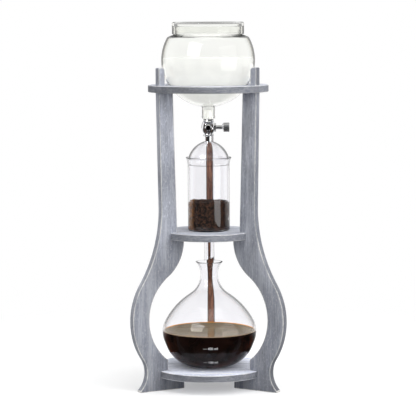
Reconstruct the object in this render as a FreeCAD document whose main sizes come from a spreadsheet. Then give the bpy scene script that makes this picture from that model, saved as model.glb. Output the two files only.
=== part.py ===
"""Cold drip coffee tower: three bowed legs, glass globe, needle valve, brewing chamber and carafe.

Millimetres, +Z up, the tower's axis on Z and the floor at Z = 0. The valve's knob points to +X and
one leg stands straight behind the axis, on +Y. Radii are measured from the tower's axis.
"""
import FreeCAD, Part
import Sketcher
import math
import os
import re

DOC = FreeCAD.newDocument("ColdDripTower")
SHEET = DOC.addObject("Spreadsheet::Sheet", "Sizes")
PLACES = DOC.addObject("App::VarSet", "Places")

# ---------------------------------------------------------------- driving sizes

TIMBER = {
    "board": 12,            # thickness of a leg
    "disc": 11,             # thickness of the ring, the shelf and the plate
    "joint_gap": 0.1,       # play in a timber joint
    "arris": 1.2,           # rounding of the discs' rims
    "foot_rise": 20.3,      # floor to the plate's underside
    "foot_length": 42,      # foot's inner end to the plate's rim
    "toe": 12.3,            # toe beyond the ankle
    "ankle_height": 30.5,   # narrowest place above the foot
    "ankle_inset": 24.1,    # ankle inside the bow's widest place
    "bow_rise": 80.4,       # bow's centre above the plate
    "bow_radius": 110.2,    # outer edge of the bow
    "bow_width": 28.7,      # board's width at the bow
    "bay_rise": 82.4,       # bay's centre above the plate
    "bay_radius": 83,       # inner edge of the bow
    "bay_room": 34.7,       # carafe's belly to the bay
    "flare_drop": 1.2,      # upright edge under the ledge
    "post_start": 39,       # shelf's top to the start of the straight post
    "post_width": 27.4,     # board's width above the shelf
    "post_inset": 11.7,     # post's inner edge inside the shelf's rim
    "ledge": 23.6,          # ledge's end inside the shelf's rim
    "shelf_lap": 5.5,       # depth of the shelf's slots
    "shelf_margin": 38.1,   # chamber's wall to the shelf's rim
    "plate_lap": 7.3,       # depth of the plate's slots
    "plate_inset": 13.3,    # leg's inner edge inside the plate's rim
    "plate_margin": 15.6,   # carafe's belly to the plate's rim
    "shoulder": 14,         # shoulder under the ring
    "prong_room": 6,        # globe to the prongs
    "prong_width": 10.6,
    "prong_rise": 27.8,     # prong above the ring
    "prong_round": 4.5,     # inner corner of a prong's top
    "prong_edge": 1.5,      # outer corner of a prong's top
    "ring_margin": 4.7,     # prong to the ring's rim
    "seat_chamfer": 1,      # chamfer that the globe sits in
}

FASTENERS = {
    "dowel_radius": 3,
    "dowel_in_leg": 10,
    "dowel_in_disc": 6,
    "dowel_end_gap": 0.2,   # room past each end of a dowel
    "screw_radius": 2,
    "screw_head_radius": 4,
    "screw_head_depth": 6,  # head's face above the sole
    "screw_head_height": 2.4,
    "screw_in_plate": 7.5,
    "screw_inset": 24.8,    # screw inside the plate's rim
    "screw_gap": 0.1,
    "hex_across": 3,        # socket in the screw's head
    "hex_depth": 1.6,
}

GLASS = {
    "glass_gap": 0.35,      # glass to timber round the globe's seat
    "wall": 2.2,            # chamber, dome and carafe
    "globe_wall": 2.5,
    "globe_radius": 74,
    "seat_rise": 38.5,      # ring's top below the globe's centre
    "globe_shoulder": 36.7,     # shoulder's edge above the globe's centre
    "globe_collar": 41.7,       # foot of the neck above the globe's centre
    "globe_neck": 52,           # radius of the wide neck
    "globe_top": 53.5,          # neck's rim above the globe's centre
    "shoulder_round": 4,
    "outlet_radius": 10.2,
    "outlet_bead": 10.9,
    "outlet_length": 18,
    "bead_height": 2.6,
    "cap_gap": 2.2,             # neck to the cap's skirt
    "cap_wall": 2.6,
    "cap_skirt": 12.3,          # skirt below the neck's rim
    "cap_rise": 6.9,            # cap's top above the neck's rim
    "cap_hollow": 3.8,          # hollow under the cap
    "cap_round": 2.5,
    "dome_height": 24.9,        # chamber's rim to the dome's top
    "dome_arc": 36.7,           # radius of the dome's outline
    "dome_hole": 6.9,
    "dome_drop": 2.5,           # dome's edge below the chamber's rim
    "dome_gap": 0.45,           # dome's edge to the chamber's flare
    "chamber_radius": 33.4,
    "chamber_height": 116.8,
    "chamber_floor": 2.5,
    "chamber_foot": 3,          # rounding of the chamber's foot
    "flare_height": 11.9,
    "flare_width": 3.2,
    "tube_radius": 7.8,
    "tube_drop": 48.1,          # tube's tip below the shelf's top
    "tube_bevel": 4.9,          # height of the tube's slanted end
    "tube_room": 1,             # tube to the shelf's hole
    "drip_gap": 2,              # tube's tip above the carafe's mouth
    "carafe_height": 168.2,
    "belly_radius": 75.2,
    "belly_rise": 57.2,         # widest place above the carafe's foot
    "belly_round": 44,          # arc under the widest place
    "belly_crown": 33,          # arc above it
    "belly_lean": 22,           # degrees from upright under the belly
    "belly_turn": 28,           # degrees of the arc above the widest place
    "base_round": 51.5,
    "base_dip": 0.8,            # what the flat foot cuts off the base's arc
    "carafe_shoulder": 118,     # radius of the long shoulder
    "waist_radius": 13.8,
    "waist_drop": 20.5,         # waist below the mouth
    "mouth_radius": 22,
    "rim_round": 0.8,
}

BREWING = {
    "filter_radius": 28.6,
    "filter_disc": 0.8,
    "filter_ring": 2,
    "filter_ring_width": 3.4,
    "filter_gap": 0.3,          # ring to the chamber's wall
    "filter_hole": 1,
    "filter_pitch": 6.2,        # between two circles of holes
}

VALVE = {
    "stopper_flange": 1.4,
    "stopper_depth": 13,
    "washer": 1.5,
    "washer_radius": 7.6,
    "stopper_gap": 0.05,
    "spigot_radius": 3.2,
    "bore_radius": 1.6,
    "valve_rise": 11.7,         # top of the body above the valve's centre
    "valve_drop": 23.4,         # nozzle's tip below the valve's centre
    "nozzle_dip": 1,            # nozzle's tip below the dome's top
    "body_radius": 11.4,        # barrel at its widest
    "body_top": 7.8,
    "body_foot": 6.9,
    "body_base": 10.6,          # foot of the barrel below the centre
    "foot_thread": 4,           # radius of the body's lower thread
    "foot_thread_length": 4,
    "plug_boss": 6.3,
    "plug_boss_reach": 12,
    "plug_thread": 4.2,
    "plug_thread_length": 5.6,
    "plug_head": 5.6,
    "plug_head_height": 2.2,
    "plug_socket": 6.4,
    "plug_socket_depth": 3.6,
    "seal": 0.9,
    "side_boss": 5,
    "side_boss_reach": 9.9,
    "nut_start": 8.7,
    "nut_end": 12.2,
    "nut_across": 12,
    "nut_web": 1,
    "stem_radius": 3.2,
    "stem_gap": 0.08,
    "stem_start": 5.2,
    "chamber_start": 4,         # start of the stem's bore in the body
    "needle_radius": 2.1,
    "needle_gap": 0.1,
    "needle_open": 1,           # needle's tip from its seat when the valve drips
    "needle_cone": 2.4,
    "knob_start": 21.6,
    "knob_cone": 2.7,
    "knob_small": 3.9,
    "knob_radius": 7.3,
    "knob_end": 33.2,
    "knob_cap": 2.7,            # knob's closed end
    "stem_end_gap": 0.5,        # stem's end to the bottom of the knob's bore
    "knob_edge": 0.5,
    "flute_radius": 0.5,
    "grub_radius": 1.25,
    "grub_gap": 0.05,
    "grub_place": 27,
    "grub_sink": 0.6,
    "skirt_top": 7,
    "skirt_radius": 8.8,
    "skirt_height": 3.1,
    "skirt_edge": 0.4,
    "nozzle_radius": 6,
    "nozzle_bore": 2,
    "thread_gap": 0.05,
    "thread_room": 0.2,         # room past the end of a thread
    "needle_reach": 1,          # needle's bore past the water's bore
}

# ------------------------------------------------- places worked out from the sizes

HEIGHTS = {
    "plate_top": "foot_rise + disc",
    "tip_height": "plate_top + carafe_height + drip_gap",
    "shelf_top": "tip_height + tube_drop",
    "shelf_height": "shelf_top - disc",
    "chamber_rim": "shelf_top + chamber_height",
    "dome_top": "chamber_rim + dome_height",
    "valve_height": "dome_top - nozzle_dip + valve_drop",
    "outlet_end": "valve_height + valve_rise + washer + stopper_flange",
    "outlet_drop": "outlet_length + sqrt(globe_radius^2 - outlet_radius^2)",
    "globe_height": "outlet_end + outlet_drop",
    "ring_top": "globe_height - seat_rise",
    "ring_height": "ring_top - disc",
    "prong_top": "ring_top + prong_rise",
    "cap_seat": "globe_height + globe_top",
}

RADII = {
    "plate_radius": "belly_radius + plate_margin",
    "plate_slot": "plate_radius - plate_lap",
    "leg_inner": "plate_radius - plate_inset",
    "heel": "plate_radius - foot_length",
    "screw_place": "plate_radius - screw_inset",
    "shelf_radius": "chamber_radius + shelf_margin",
    "shelf_slot": "shelf_radius - shelf_lap",
    "ledge_end": "shelf_radius - ledge",
    "ledge_middle": "(ledge_end + shelf_slot) / 2",
    "post_inner": "shelf_radius - post_inset",
    "post_outer": "post_inner + post_width",
    "prong_inner": "globe_radius + prong_room",
    "prong_outer": "prong_inner + prong_width",
    "shoulder_end": "prong_inner - shoulder",
    "shoulder_middle": "prong_inner - shoulder / 2",
    "ring_radius": "prong_outer + ring_margin",
    "ring_hole": "sqrt(globe_radius^2 - (seat_rise + seat_chamfer)^2) + glass_gap",
    "half_board": "board / 2 + joint_gap",
}

# The edges of the bow are arcs that run into one another. An arc that is tangent to another and
# upright at a known edge has the radius (rise^2 - (radius^2 - offset^2)) / (2 (radius - offset)),
# where rise and offset lead from the other arc's centre to that edge.
BOW = {
    "bay_x": "belly_radius + bay_room - bay_radius",
    "bay_z": "plate_top + bay_rise",
    "bay_foot": "bay_z - sqrt(bay_radius^2 - (leg_inner - bay_x)^2)",
    "flare_z": "shelf_height - flare_drop",
    "flare_up": "flare_z - bay_z",
    "flare_in": "ledge_end - bay_x",
    "flare_radius": "(flare_up^2 - bay_radius^2 + flare_in^2) / (2 * (bay_radius - flare_in))",
    "flare_share": "bay_radius / (bay_radius + flare_radius)",
    "flare_turn_x": "bay_x + (flare_in + flare_radius) * flare_share",
    "flare_turn_z": "bay_z + flare_up * flare_share",
    "bow_reach": "belly_radius + bay_room + bow_width",
    "bow_x": "bow_reach - bow_radius",
    "bow_z": "plate_top + bow_rise",
    "post_foot": "shelf_top + post_start",
    "sweep_up": "post_foot - bow_z",
    "sweep_in": "post_outer - bow_x",
    "sweep_radius": "(sweep_up^2 - bow_radius^2 + sweep_in^2) / (2 * (bow_radius - sweep_in))",
    "sweep_share": "bow_radius / (bow_radius + sweep_radius)",
    "sweep_turn_x": "bow_x + (sweep_in + sweep_radius) * sweep_share",
    "sweep_turn_z": "bow_z + sweep_up * sweep_share",
    "ankle_reach": "bow_reach - ankle_inset",
    "ankle_down": "bow_z - ankle_height",
    "ankle_in": "ankle_reach - bow_x",
    "ankle_radius": "(ankle_down^2 - bow_radius^2 + ankle_in^2) / (2 * (bow_radius - ankle_in))",
    "ankle_share": "bow_radius / (bow_radius + ankle_radius)",
    "ankle_turn_x": "bow_x + (ankle_in + ankle_radius) * ankle_share",
    "ankle_turn_z": "bow_z - ankle_down * ankle_share",
    "toe_reach": "ankle_reach + toe",
    "toe_tip": "ankle_height - sqrt(ankle_radius^2 - (ankle_radius - toe)^2)",
}

GLASS_PLACES = {
    "globe_hollow": "globe_radius - globe_wall",
    "shoulder_out": "sqrt(globe_radius^2 - globe_shoulder^2)",
    "shoulder_share": "globe_hollow / globe_radius",
    "neck_bore": "globe_neck - globe_wall",
    "outlet_bore": "outlet_radius - wall",
    "skirt_bore": "globe_neck + cap_gap",
    "cap_radius": "skirt_bore + cap_wall",
    "flare_arc": "(flare_width^2 + flare_height^2) / (2 * flare_width)",
    "flare_start": "chamber_height - flare_height",
    "chamber_bore": "chamber_radius - wall",
    "flare_bore": "chamber_radius + flare_arc - sqrt((flare_arc + wall)^2 - flare_height^2)",
    "seat_bore": "chamber_radius + flare_arc"
                 " - sqrt((flare_arc + wall)^2 - (flare_height - dome_drop)^2)",
    "dome_edge": "seat_bore - dome_gap",
    "tube_bore": "tube_radius - wall",
}

# The carafe's outline, from the foot up: base arc, straight wall, belly, shoulder, neck, lip.
CARAFE = {
    "belly_x": "belly_radius - belly_round",
    "wall_top_x": "belly_x + belly_round * cos(belly_lean * 1deg)",
    "wall_top_z": "belly_rise - belly_round * sin(belly_lean * 1deg)",
    "base_z": "base_round - base_dip",
    "wall_foot_z": "base_z - base_round * sin(belly_lean * 1deg)",
    "wall_foot_x": "wall_top_x - (wall_top_z - wall_foot_z) * tan(belly_lean * 1deg)",
    "base_x": "wall_foot_x - base_round * cos(belly_lean * 1deg)",
    "foot_radius": "base_x + sqrt(base_round^2 - base_z^2)",
    "floor_radius": "base_x + sqrt((base_round - wall)^2 - (base_z - wall)^2)",
    "crown_x": "belly_radius - belly_crown",
    "belly_top_x": "crown_x + belly_crown * cos(belly_turn * 1deg)",
    "belly_top_z": "belly_rise + belly_crown * sin(belly_turn * 1deg)",
    "shoulder_x": "crown_x - (carafe_shoulder - belly_crown) * cos(belly_turn * 1deg)",
    "shoulder_z": "belly_rise - (carafe_shoulder - belly_crown) * sin(belly_turn * 1deg)",
    "waist_z": "carafe_height - waist_drop",
    "neck_up": "waist_z - shoulder_z",
    "neck_in": "waist_radius - shoulder_x",
    "neck_radius": "(neck_up^2 - carafe_shoulder^2 + neck_in^2)"
                   " / (2 * (carafe_shoulder - neck_in))",
    "neck_share": "carafe_shoulder / (carafe_shoulder + neck_radius)",
    "neck_turn_x": "shoulder_x + (neck_in + neck_radius) * neck_share",
    "neck_turn_z": "shoulder_z + neck_up * neck_share",
    "lip_out": "mouth_radius - waist_radius",
    "lip_radius": "(lip_out^2 + waist_drop^2) / (2 * lip_out)",
    "lip_bore": "waist_radius + lip_radius - sqrt((lip_radius + wall)^2 - waist_drop^2)",
    "inner_share": "(carafe_shoulder - wall) / carafe_shoulder",
    "inner_belly": "(belly_round - wall) / belly_round",
    "inner_crown": "(belly_crown - wall) / belly_crown",
    "inner_base": "(base_round - wall) / base_round",
    "inner_neck_x": "shoulder_x + (neck_turn_x - shoulder_x) * inner_share",
    "inner_neck_z": "shoulder_z + (neck_turn_z - shoulder_z) * inner_share",
    "inner_belly_x": "crown_x + (belly_top_x - crown_x) * inner_crown",
    "inner_belly_z": "belly_rise + (belly_top_z - belly_rise) * inner_crown",
    "inner_top_x": "belly_x + (wall_top_x - belly_x) * inner_belly",
    "inner_top_z": "belly_rise + (wall_top_z - belly_rise) * inner_belly",
    "inner_foot_x": "base_x + (wall_foot_x - base_x) * inner_base",
    "inner_foot_z": "base_z + (wall_foot_z - base_z) * inner_base",
}

VALVE_PLACES = {
    "stopper_radius": "outlet_bore - stopper_gap",
    "stopper_bore": "spigot_radius + stopper_gap",
    "spigot_top": "valve_rise + washer + stopper_flange + stopper_depth",
    "stem_bore": "stem_radius + stem_gap",
    "needle_bore": "needle_radius + needle_gap",
    "needle_seat": "-bore_radius - needle_reach",
    "needle_tip": "needle_seat + needle_open",
    "nut_bore": "side_boss + thread_gap",
    "knob_bore_end": "knob_end - knob_cap",
    "stem_end": "knob_bore_end - stem_end_gap",
    "plug_bore": "plug_thread + thread_gap",
    "plug_face": "plug_boss_reach + seal",
    "skirt_foot": "body_base + skirt_height",
    "nozzle_socket": "body_base + foot_thread_length + thread_room",
    "grub_bore": "grub_radius + grub_gap",
    "ring_outer": "chamber_bore - filter_gap",
}

SIZE_GROUPS = (TIMBER, FASTENERS, GLASS, BREWING, VALVE)
PLACE_GROUPS = (HEIGHTS, RADII, BOW, GLASS_PLACES, CARAFE, VALVE_PLACES)
OWNER = {}
for group in SIZE_GROUPS:
    OWNER.update(dict.fromkeys(group, "Sizes"))
for group in PLACE_GROUPS:
    OWNER.update(dict.fromkeys(group, "Places"))


def full(expression):
    """The expression with each name led by the object that holds it."""
    def led(match):
        name = match.group(0)
        return OWNER[name] + "." + name if name in OWNER else name
    return re.sub(r"[a-z][a-z_]+[0-9]?", led, str(expression))


def value(expression):
    return float(SHEET.evalExpression(full(expression)))


def fill_sheet():
    row = 0
    for sizes in SIZE_GROUPS:
        for name, number in sizes.items():
            row += 1
            SHEET.set("A%d" % row, name)
            SHEET.set("B%d" % row, str(number))
            SHEET.setAlias("B%d" % row, name)
    DOC.recompute()
    for places in PLACE_GROUPS:
        for name, expression in places.items():
            PLACES.addProperty("App::PropertyFloat", name, "Places", "")
            PLACES.setExpression(name, full(expression))
    DOC.recompute()


# ---------------------------------------------------------------- modelling helpers

LEFT, RIGHT = 1, -1
LEG_TURNS = {"leg_back": 90, "leg_left": 210, "leg_right": 330}
PARTS = []


def keep(part, name):
    """Marks an object as one of the sub-parts, under the name of its file."""
    part.Label = name
    PARTS.append(part)
    return part


def new_body(name, height="0"):
    """A body whose own origin stands at a height on the tower's axis."""
    body = DOC.addObject("PartDesign::Body", name)
    body.setExpression("Placement.Base.z", full(height))
    return keep(body, name)


def origin_of(body, role):
    return next(part for part in body.Origin.OriginFeatures if part.Role == role)


def new_sketch(body, name, role, lift="0"):
    sketch = body.newObject("Sketcher::SketchObject", body.Name + "_" + name)
    sketch.AttachmentSupport = [(origin_of(body, role), "")]
    sketch.MapMode = "FlatFace"
    sketch.setExpression("AttachmentOffset.Base.z", full(lift))
    return sketch


def hold(sketch, kind, places, expression):
    """Adds one sketch dimension and binds it to the expression."""
    number = sketch.addConstraint(Sketcher.Constraint(kind, *places, value(expression)))
    sketch.setExpression("Constraints[%d]" % number, full(expression))


def arc_edge(start, end, radius, side):
    """The shorter arc from start to end, with its centre on that side of the way."""
    chord = end - start
    across = FreeCAD.Vector(-chord.y, chord.x, 0).normalize() * side
    centre = (start + end) * 0.5 + across * math.sqrt(radius ** 2 - chord.Length ** 2 / 4)
    first, last = (start, end) if side == LEFT else (end, start)
    angles = [math.atan2(spot.y - centre.y, spot.x - centre.x) for spot in (first, last)]
    circle = Part.Circle(centre, FreeCAD.Vector(0, 0, 1), radius)
    return Part.ArcOfCircle(circle, angles[0], angles[1])


def outline(sketch, corners):
    """A closed outline through its corners in order, each an (x, y) pair of expressions.

    A corner with two more entries, a radius and LEFT or RIGHT, starts an arc of that radius with
    its centre on that side of the way to the next corner.
    """
    spots = [FreeCAD.Vector(value(corner[0]), value(corner[1]), 0) for corner in corners]
    edges = []
    for index, corner in enumerate(corners):
        start = spots[index]
        end = spots[(index + 1) % len(spots)]
        if len(corner) == 2:
            edges.append((sketch.addGeometry(Part.LineSegment(start, end)), 1, 2))
            continue
        side = corner[3]
        number = sketch.addGeometry(arc_edge(start, end, value(corner[2]), side))
        edges.append((number, 1, 2) if side == LEFT else (number, 2, 1))
    for index, (number, start, end) in enumerate(edges):
        following = edges[(index + 1) % len(edges)]
        joint = Sketcher.Constraint("Coincident", number, end, following[0], following[1])
        sketch.addConstraint(joint)
    for (number, start, end), corner in zip(edges, corners):
        hold(sketch, "DistanceX", (-1, 1, number, start), corner[0])
        hold(sketch, "DistanceY", (-1, 1, number, start), corner[1])
        if len(corner) == 4:
            hold(sketch, "Radius", (number,), corner[2])


def circle(sketch, across, up, radius):
    spot = FreeCAD.Vector(value(across), value(up), 0)
    number = sketch.addGeometry(Part.Circle(spot, FreeCAD.Vector(0, 0, 1), value(radius)))
    hold(sketch, "DistanceX", (-1, 1, number, 3), across)
    hold(sketch, "DistanceY", (-1, 1, number, 3), up)
    hold(sketch, "Radius", (number,), radius)


def box_outline(sketch, low_x, high_x, low_y, high_y):
    outline(sketch, [(low_x, low_y), (high_x, low_y), (high_x, high_y), (low_x, high_y)])


def hexagon(sketch, across):
    """A hexagon about the sketch's origin, of that size across its flats."""
    corners = []
    for turn in range(30, 390, 60):
        reach = "(%s) / (2 * cos(30deg))" % across
        corners.append(("%s * cos(%ddeg)" % (reach, turn), "%s * sin(%ddeg)" % (reach, turn)))
    outline(sketch, corners)


def feature(body, kind, name, sketch):
    made = body.newObject("PartDesign::" + kind, body.Name + "_" + name)
    made.Profile = sketch
    return made


def pad(body, name, sketch, length, middle=False, down=False):
    made = feature(body, "Pad", name, sketch)
    made.setExpression("Length", full(length))
    made.SideType = "Symmetric" if middle else "One side"
    made.Reversed = down
    return made


def pocket(body, name, sketch, depth, forward=False, middle=False):
    """Cuts against the sketch's normal, or along it when forward is set."""
    made = feature(body, "Pocket", name, sketch)
    made.setExpression("Length", full(depth))
    made.SideType = "Symmetric" if middle else "One side"
    made.Reversed = forward
    return made


def turned(body, name, corners, kind="Revolution", axis="V_Axis"):
    """Turns an outline on the XZ plane about the body's Z axis, or X with axis H_Axis."""
    sketch = new_sketch(body, name + "_outline", "XZ_Plane")
    outline(sketch, corners)
    made = feature(body, kind, name, sketch)
    made.ReferenceAxis = (sketch, [axis])
    made.Angle = 360
    return made


def repeated(body, name, original, count, axis="Z_Axis"):
    made = body.newObject("PartDesign::PolarPattern", body.Name + "_" + name)
    made.Originals = [original]
    made.Axis = (origin_of(body, axis), [""])
    made.Angle = 360
    made.Occurrences = count
    body.Tip = made
    return made


def rounded(body, name, spots, radius, kind="Fillet"):
    """Fillets or chamfers the body's circles about Z of each (radius, height) given."""
    DOC.recompute()
    places = [(value(reach), value(height)) for reach, height in spots]
    picked = []
    for number, edge in enumerate(body.Tip.Shape.Edges, 1):
        curve = edge.Curve
        if not isinstance(curve, Part.Circle):
            continue
        for reach, height in places:
            if abs(curve.Radius - reach) < 0.01 and abs(curve.Center.z - height) < 0.01:
                picked.append("Edge%d" % number)
    base = body.Tip
    made = body.newObject("PartDesign::" + kind, body.Name + "_" + name)
    made.Base = (base, picked)
    made.setExpression("Size" if kind == "Chamfer" else "Radius", full(radius))
    return made


# ---------------------------------------------------------------- timber frame

def leg(name, turn):
    body = new_body(name)
    sketch = new_sketch(body, "outline", "XZ_Plane")
    outline(sketch, [
        ("heel", "0"),
        ("toe_reach", "0"),
        ("toe_reach", "toe_tip", "ankle_radius", RIGHT),
        ("ankle_turn_x", "ankle_turn_z", "bow_radius", LEFT),
        ("sweep_turn_x", "sweep_turn_z", "sweep_radius", RIGHT),
        ("post_outer", "post_foot"),
        ("prong_outer", "ring_height"),
        ("prong_outer", "prong_top - prong_edge", "prong_edge", LEFT),
        ("prong_outer - prong_edge", "prong_top"),
        ("prong_inner + prong_round", "prong_top", "prong_round", LEFT),
        ("prong_inner", "prong_top - prong_round"),
        ("prong_inner", "ring_height"),
        ("shoulder_end", "ring_height"),
        ("post_inner", "shelf_top"),
        ("shelf_slot", "shelf_top"),
        ("shelf_slot", "shelf_height"),
        ("ledge_end", "shelf_height"),
        ("ledge_end", "flare_z", "flare_radius", LEFT),
        ("flare_turn_x", "flare_turn_z", "bay_radius", RIGHT),
        ("leg_inner", "bay_foot"),
        ("leg_inner", "plate_top"),
        ("plate_slot", "plate_top"),
        ("plate_slot", "foot_rise"),
        ("heel", "foot_rise"),
    ])
    pad(body, "board", sketch, "board", middle=True)
    for label, reach, height in (("ring", "shoulder_middle", "ring_height"),
                                 ("shelf", "ledge_middle", "shelf_height")):
        hole = new_sketch(body, label + "_dowel", "XY_Plane", height)
        circle(hole, reach, "0", "dowel_radius")
        pocket(body, label + "_dowel_hole", hole, "dowel_in_leg + dowel_end_gap")
    for label, radius, depth in (("shank", "screw_radius + screw_gap", "foot_rise"),
                                 ("head", "screw_head_radius + screw_gap", "screw_head_depth"
                                  " + screw_head_height")):
        hole = new_sketch(body, "screw_" + label, "XY_Plane")
        circle(hole, "screw_place", "0", radius)
        pocket(body, "screw_%s_hole" % label, hole, depth, forward=True)
    body.setExpression("Placement.Rotation.Angle", "%d deg" % turn)
    return body


def slots(body, name, inner, outer):
    """Three slots for the legs, cut through a disc, the first one on +Y."""
    sketch = new_sketch(body, name, "XY_Plane")
    box_outline(sketch, "-half_board", "half_board", inner, outer)
    cut = pocket(body, name + "_cut", sketch, "disc", forward=True)
    repeated(body, name + "_set", cut, len(LEG_TURNS))


def dowel_holes(body, reach):
    sketch = new_sketch(body, "dowel", "XY_Plane")
    circle(sketch, "0", reach, "dowel_radius")
    hole = pocket(body, "dowel_hole", sketch, "dowel_in_disc + dowel_end_gap", forward=True)
    repeated(body, "dowel_hole_set", hole, len(LEG_TURNS))


def disc(name, height, radius):
    body = new_body(name, height)
    sketch = new_sketch(body, "outline", "XY_Plane")
    circle(sketch, "0", "0", radius)
    pad(body, "disc", sketch, "disc")
    rounded(body, "rim", [(radius, "0"), (radius, "disc")], "arris")
    return body


def bored(body, radius):
    """Bores a disc through its middle."""
    sketch = new_sketch(body, "bore", "XY_Plane")
    circle(sketch, "0", "0", radius)
    return pocket(body, "bore_cut", sketch, "disc", forward=True)


def top_ring():
    body = disc("top_ring", "ring_height", "ring_radius")
    bored(body, "ring_hole")
    rounded(body, "seat", [("ring_hole", "disc")], "seat_chamfer", kind="Chamfer")
    slots(body, "mortise", "prong_inner - joint_gap", "prong_outer + joint_gap")
    dowel_holes(body, "shoulder_middle")


def middle_shelf():
    body = disc("middle_shelf", "shelf_height", "shelf_radius")
    bored(body, "tube_radius + tube_room")
    slots(body, "slot", "shelf_slot", "shelf_radius + arris")
    dowel_holes(body, "ledge_middle")


def bottom_plate():
    body = disc("bottom_plate", "foot_rise", "plate_radius")
    slots(body, "slot", "plate_slot", "plate_radius + arris")
    sketch = new_sketch(body, "screw", "XY_Plane")
    circle(sketch, "0", "screw_place", "screw_radius")
    hole = pocket(body, "screw_hole", sketch, "screw_in_plate + screw_gap", forward=True)
    repeated(body, "screw_hole_set", hole, len(LEG_TURNS))


def stand_at(part, turn, reach, height):
    """Places a primitive at a radius and height, beside the leg of that turn."""
    part.setExpression("Placement.Base.x", full("(%s) * cos(%ddeg)" % (reach, turn)))
    part.setExpression("Placement.Base.y", full("(%s) * sin(%ddeg)" % (reach, turn)))
    part.setExpression("Placement.Base.z", full(height))


def cylinder(name, radius, length):
    made = DOC.addObject("Part::Cylinder", name)
    made.setExpression("Radius", full(radius))
    made.setExpression("Height", full(length))
    return made


def dowels():
    pegs = []
    for turn in LEG_TURNS.values():
        for label, reach, height in (("ring", "shoulder_middle", "ring_height"),
                                     ("shelf", "ledge_middle", "shelf_height")):
            peg = cylinder("dowel_%s_%d" % (label, turn), "dowel_radius",
                           "dowel_in_leg + dowel_in_disc")
            stand_at(peg, turn, reach, height + " - dowel_in_leg")
            pegs.append(peg)
    group = DOC.addObject("Part::Compound", "dowels")
    group.Links = pegs
    keep(group, "dowels")


def foot_screws():
    screws = []
    for turn in LEG_TURNS.values():
        shank = cylinder("shank_%d" % turn, "screw_radius",
                         "foot_rise + screw_in_plate - screw_head_depth")
        head = DOC.addObject("Part::Cone", "head_%d" % turn)
        head.setExpression("Radius1", full("screw_head_radius"))
        head.setExpression("Radius2", full("screw_radius"))
        head.setExpression("Height", full("screw_head_height"))
        screw = DOC.addObject("Part::Fuse", "screw_%d" % turn)
        screw.Base = shank
        screw.Tool = head
        socket = DOC.addObject("Part::Prism", "socket_%d" % turn)
        socket.Polygon = 6
        socket.setExpression("Circumradius", full("hex_across / (2 * cos(30deg))"))
        socket.setExpression("Height", full("hex_depth"))
        for piece in (shank, head, socket):
            stand_at(piece, turn, "screw_place", "screw_head_depth")
        cut = DOC.addObject("Part::Cut", "screw_cut_%d" % turn)
        cut.Base = screw
        cut.Tool = socket
        screws.append(cut)
    group = DOC.addObject("Part::Compound", "foot_screws")
    group.Links = screws
    keep(group, "foot_screws")


# ---------------------------------------------------------------- glass

def water_globe():
    """The globe, about its own centre: outlet and bead below, shoulder and wide neck above."""
    body = new_body("water_globe", "globe_height")
    turned(body, "glass", [
        ("outlet_bore", "-outlet_drop"),
        ("outlet_bead", "-outlet_drop"),
        ("outlet_bead", "bead_height - outlet_drop"),
        ("outlet_radius", "bead_height + outlet_bead - outlet_radius - outlet_drop"),
        ("outlet_radius", "outlet_length - outlet_drop", "globe_radius", LEFT),
        ("shoulder_out", "globe_shoulder"),
        ("globe_neck", "globe_collar"),
        ("globe_neck", "globe_top"),
        ("neck_bore", "globe_top"),
        ("neck_bore", "globe_collar - globe_wall * shoulder_share"),
        ("shoulder_out * shoulder_share", "globe_shoulder * shoulder_share",
         "globe_hollow", RIGHT),
        ("outlet_bore", "-sqrt(globe_hollow^2 - outlet_bore^2)"),
    ])
    rounded(body, "shoulder", [("shoulder_out", "globe_shoulder")], "shoulder_round")
    rounded(body, "rim", [("globe_neck", "globe_top"), ("neck_bore", "globe_top"),
                          ("outlet_bead", "-outlet_drop")], "rim_round")
    rounded(body, "throat", [("outlet_radius", "outlet_length - outlet_drop")], "wall")


def globe_lid():
    """The cap, about the rim of the globe's neck that it rests on."""
    body = new_body("globe_lid", "cap_seat")
    turned(body, "glass", [
        ("0", "cap_hollow"),
        ("neck_bore - 1", "cap_hollow"),
        ("neck_bore - 1", "0"),
        ("skirt_bore", "0"),
        ("skirt_bore", "-cap_skirt"),
        ("cap_radius", "-cap_skirt"),
        ("cap_radius", "cap_rise"),
        ("0", "cap_rise"),
    ])
    rounded(body, "top", [("cap_radius", "cap_rise")], "cap_round")
    rounded(body, "skirt", [("cap_radius", "-cap_skirt"), ("skirt_bore", "-cap_skirt")],
            "rim_round")


def dome_lid():
    """The dome, about the chamber's rim: it stands just inside the flare."""
    body = new_body("dome_lid", "chamber_rim")
    turned(body, "glass", [
        ("dome_edge - wall", "-dome_drop"),
        ("dome_edge", "-dome_drop", "dome_arc", LEFT),
        ("dome_hole", "dome_height"),
        ("dome_hole", "dome_height - wall", "dome_arc - wall", RIGHT),
    ])
    rounded(body, "mouth", [("dome_hole", "dome_height")], "rim_round")


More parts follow.
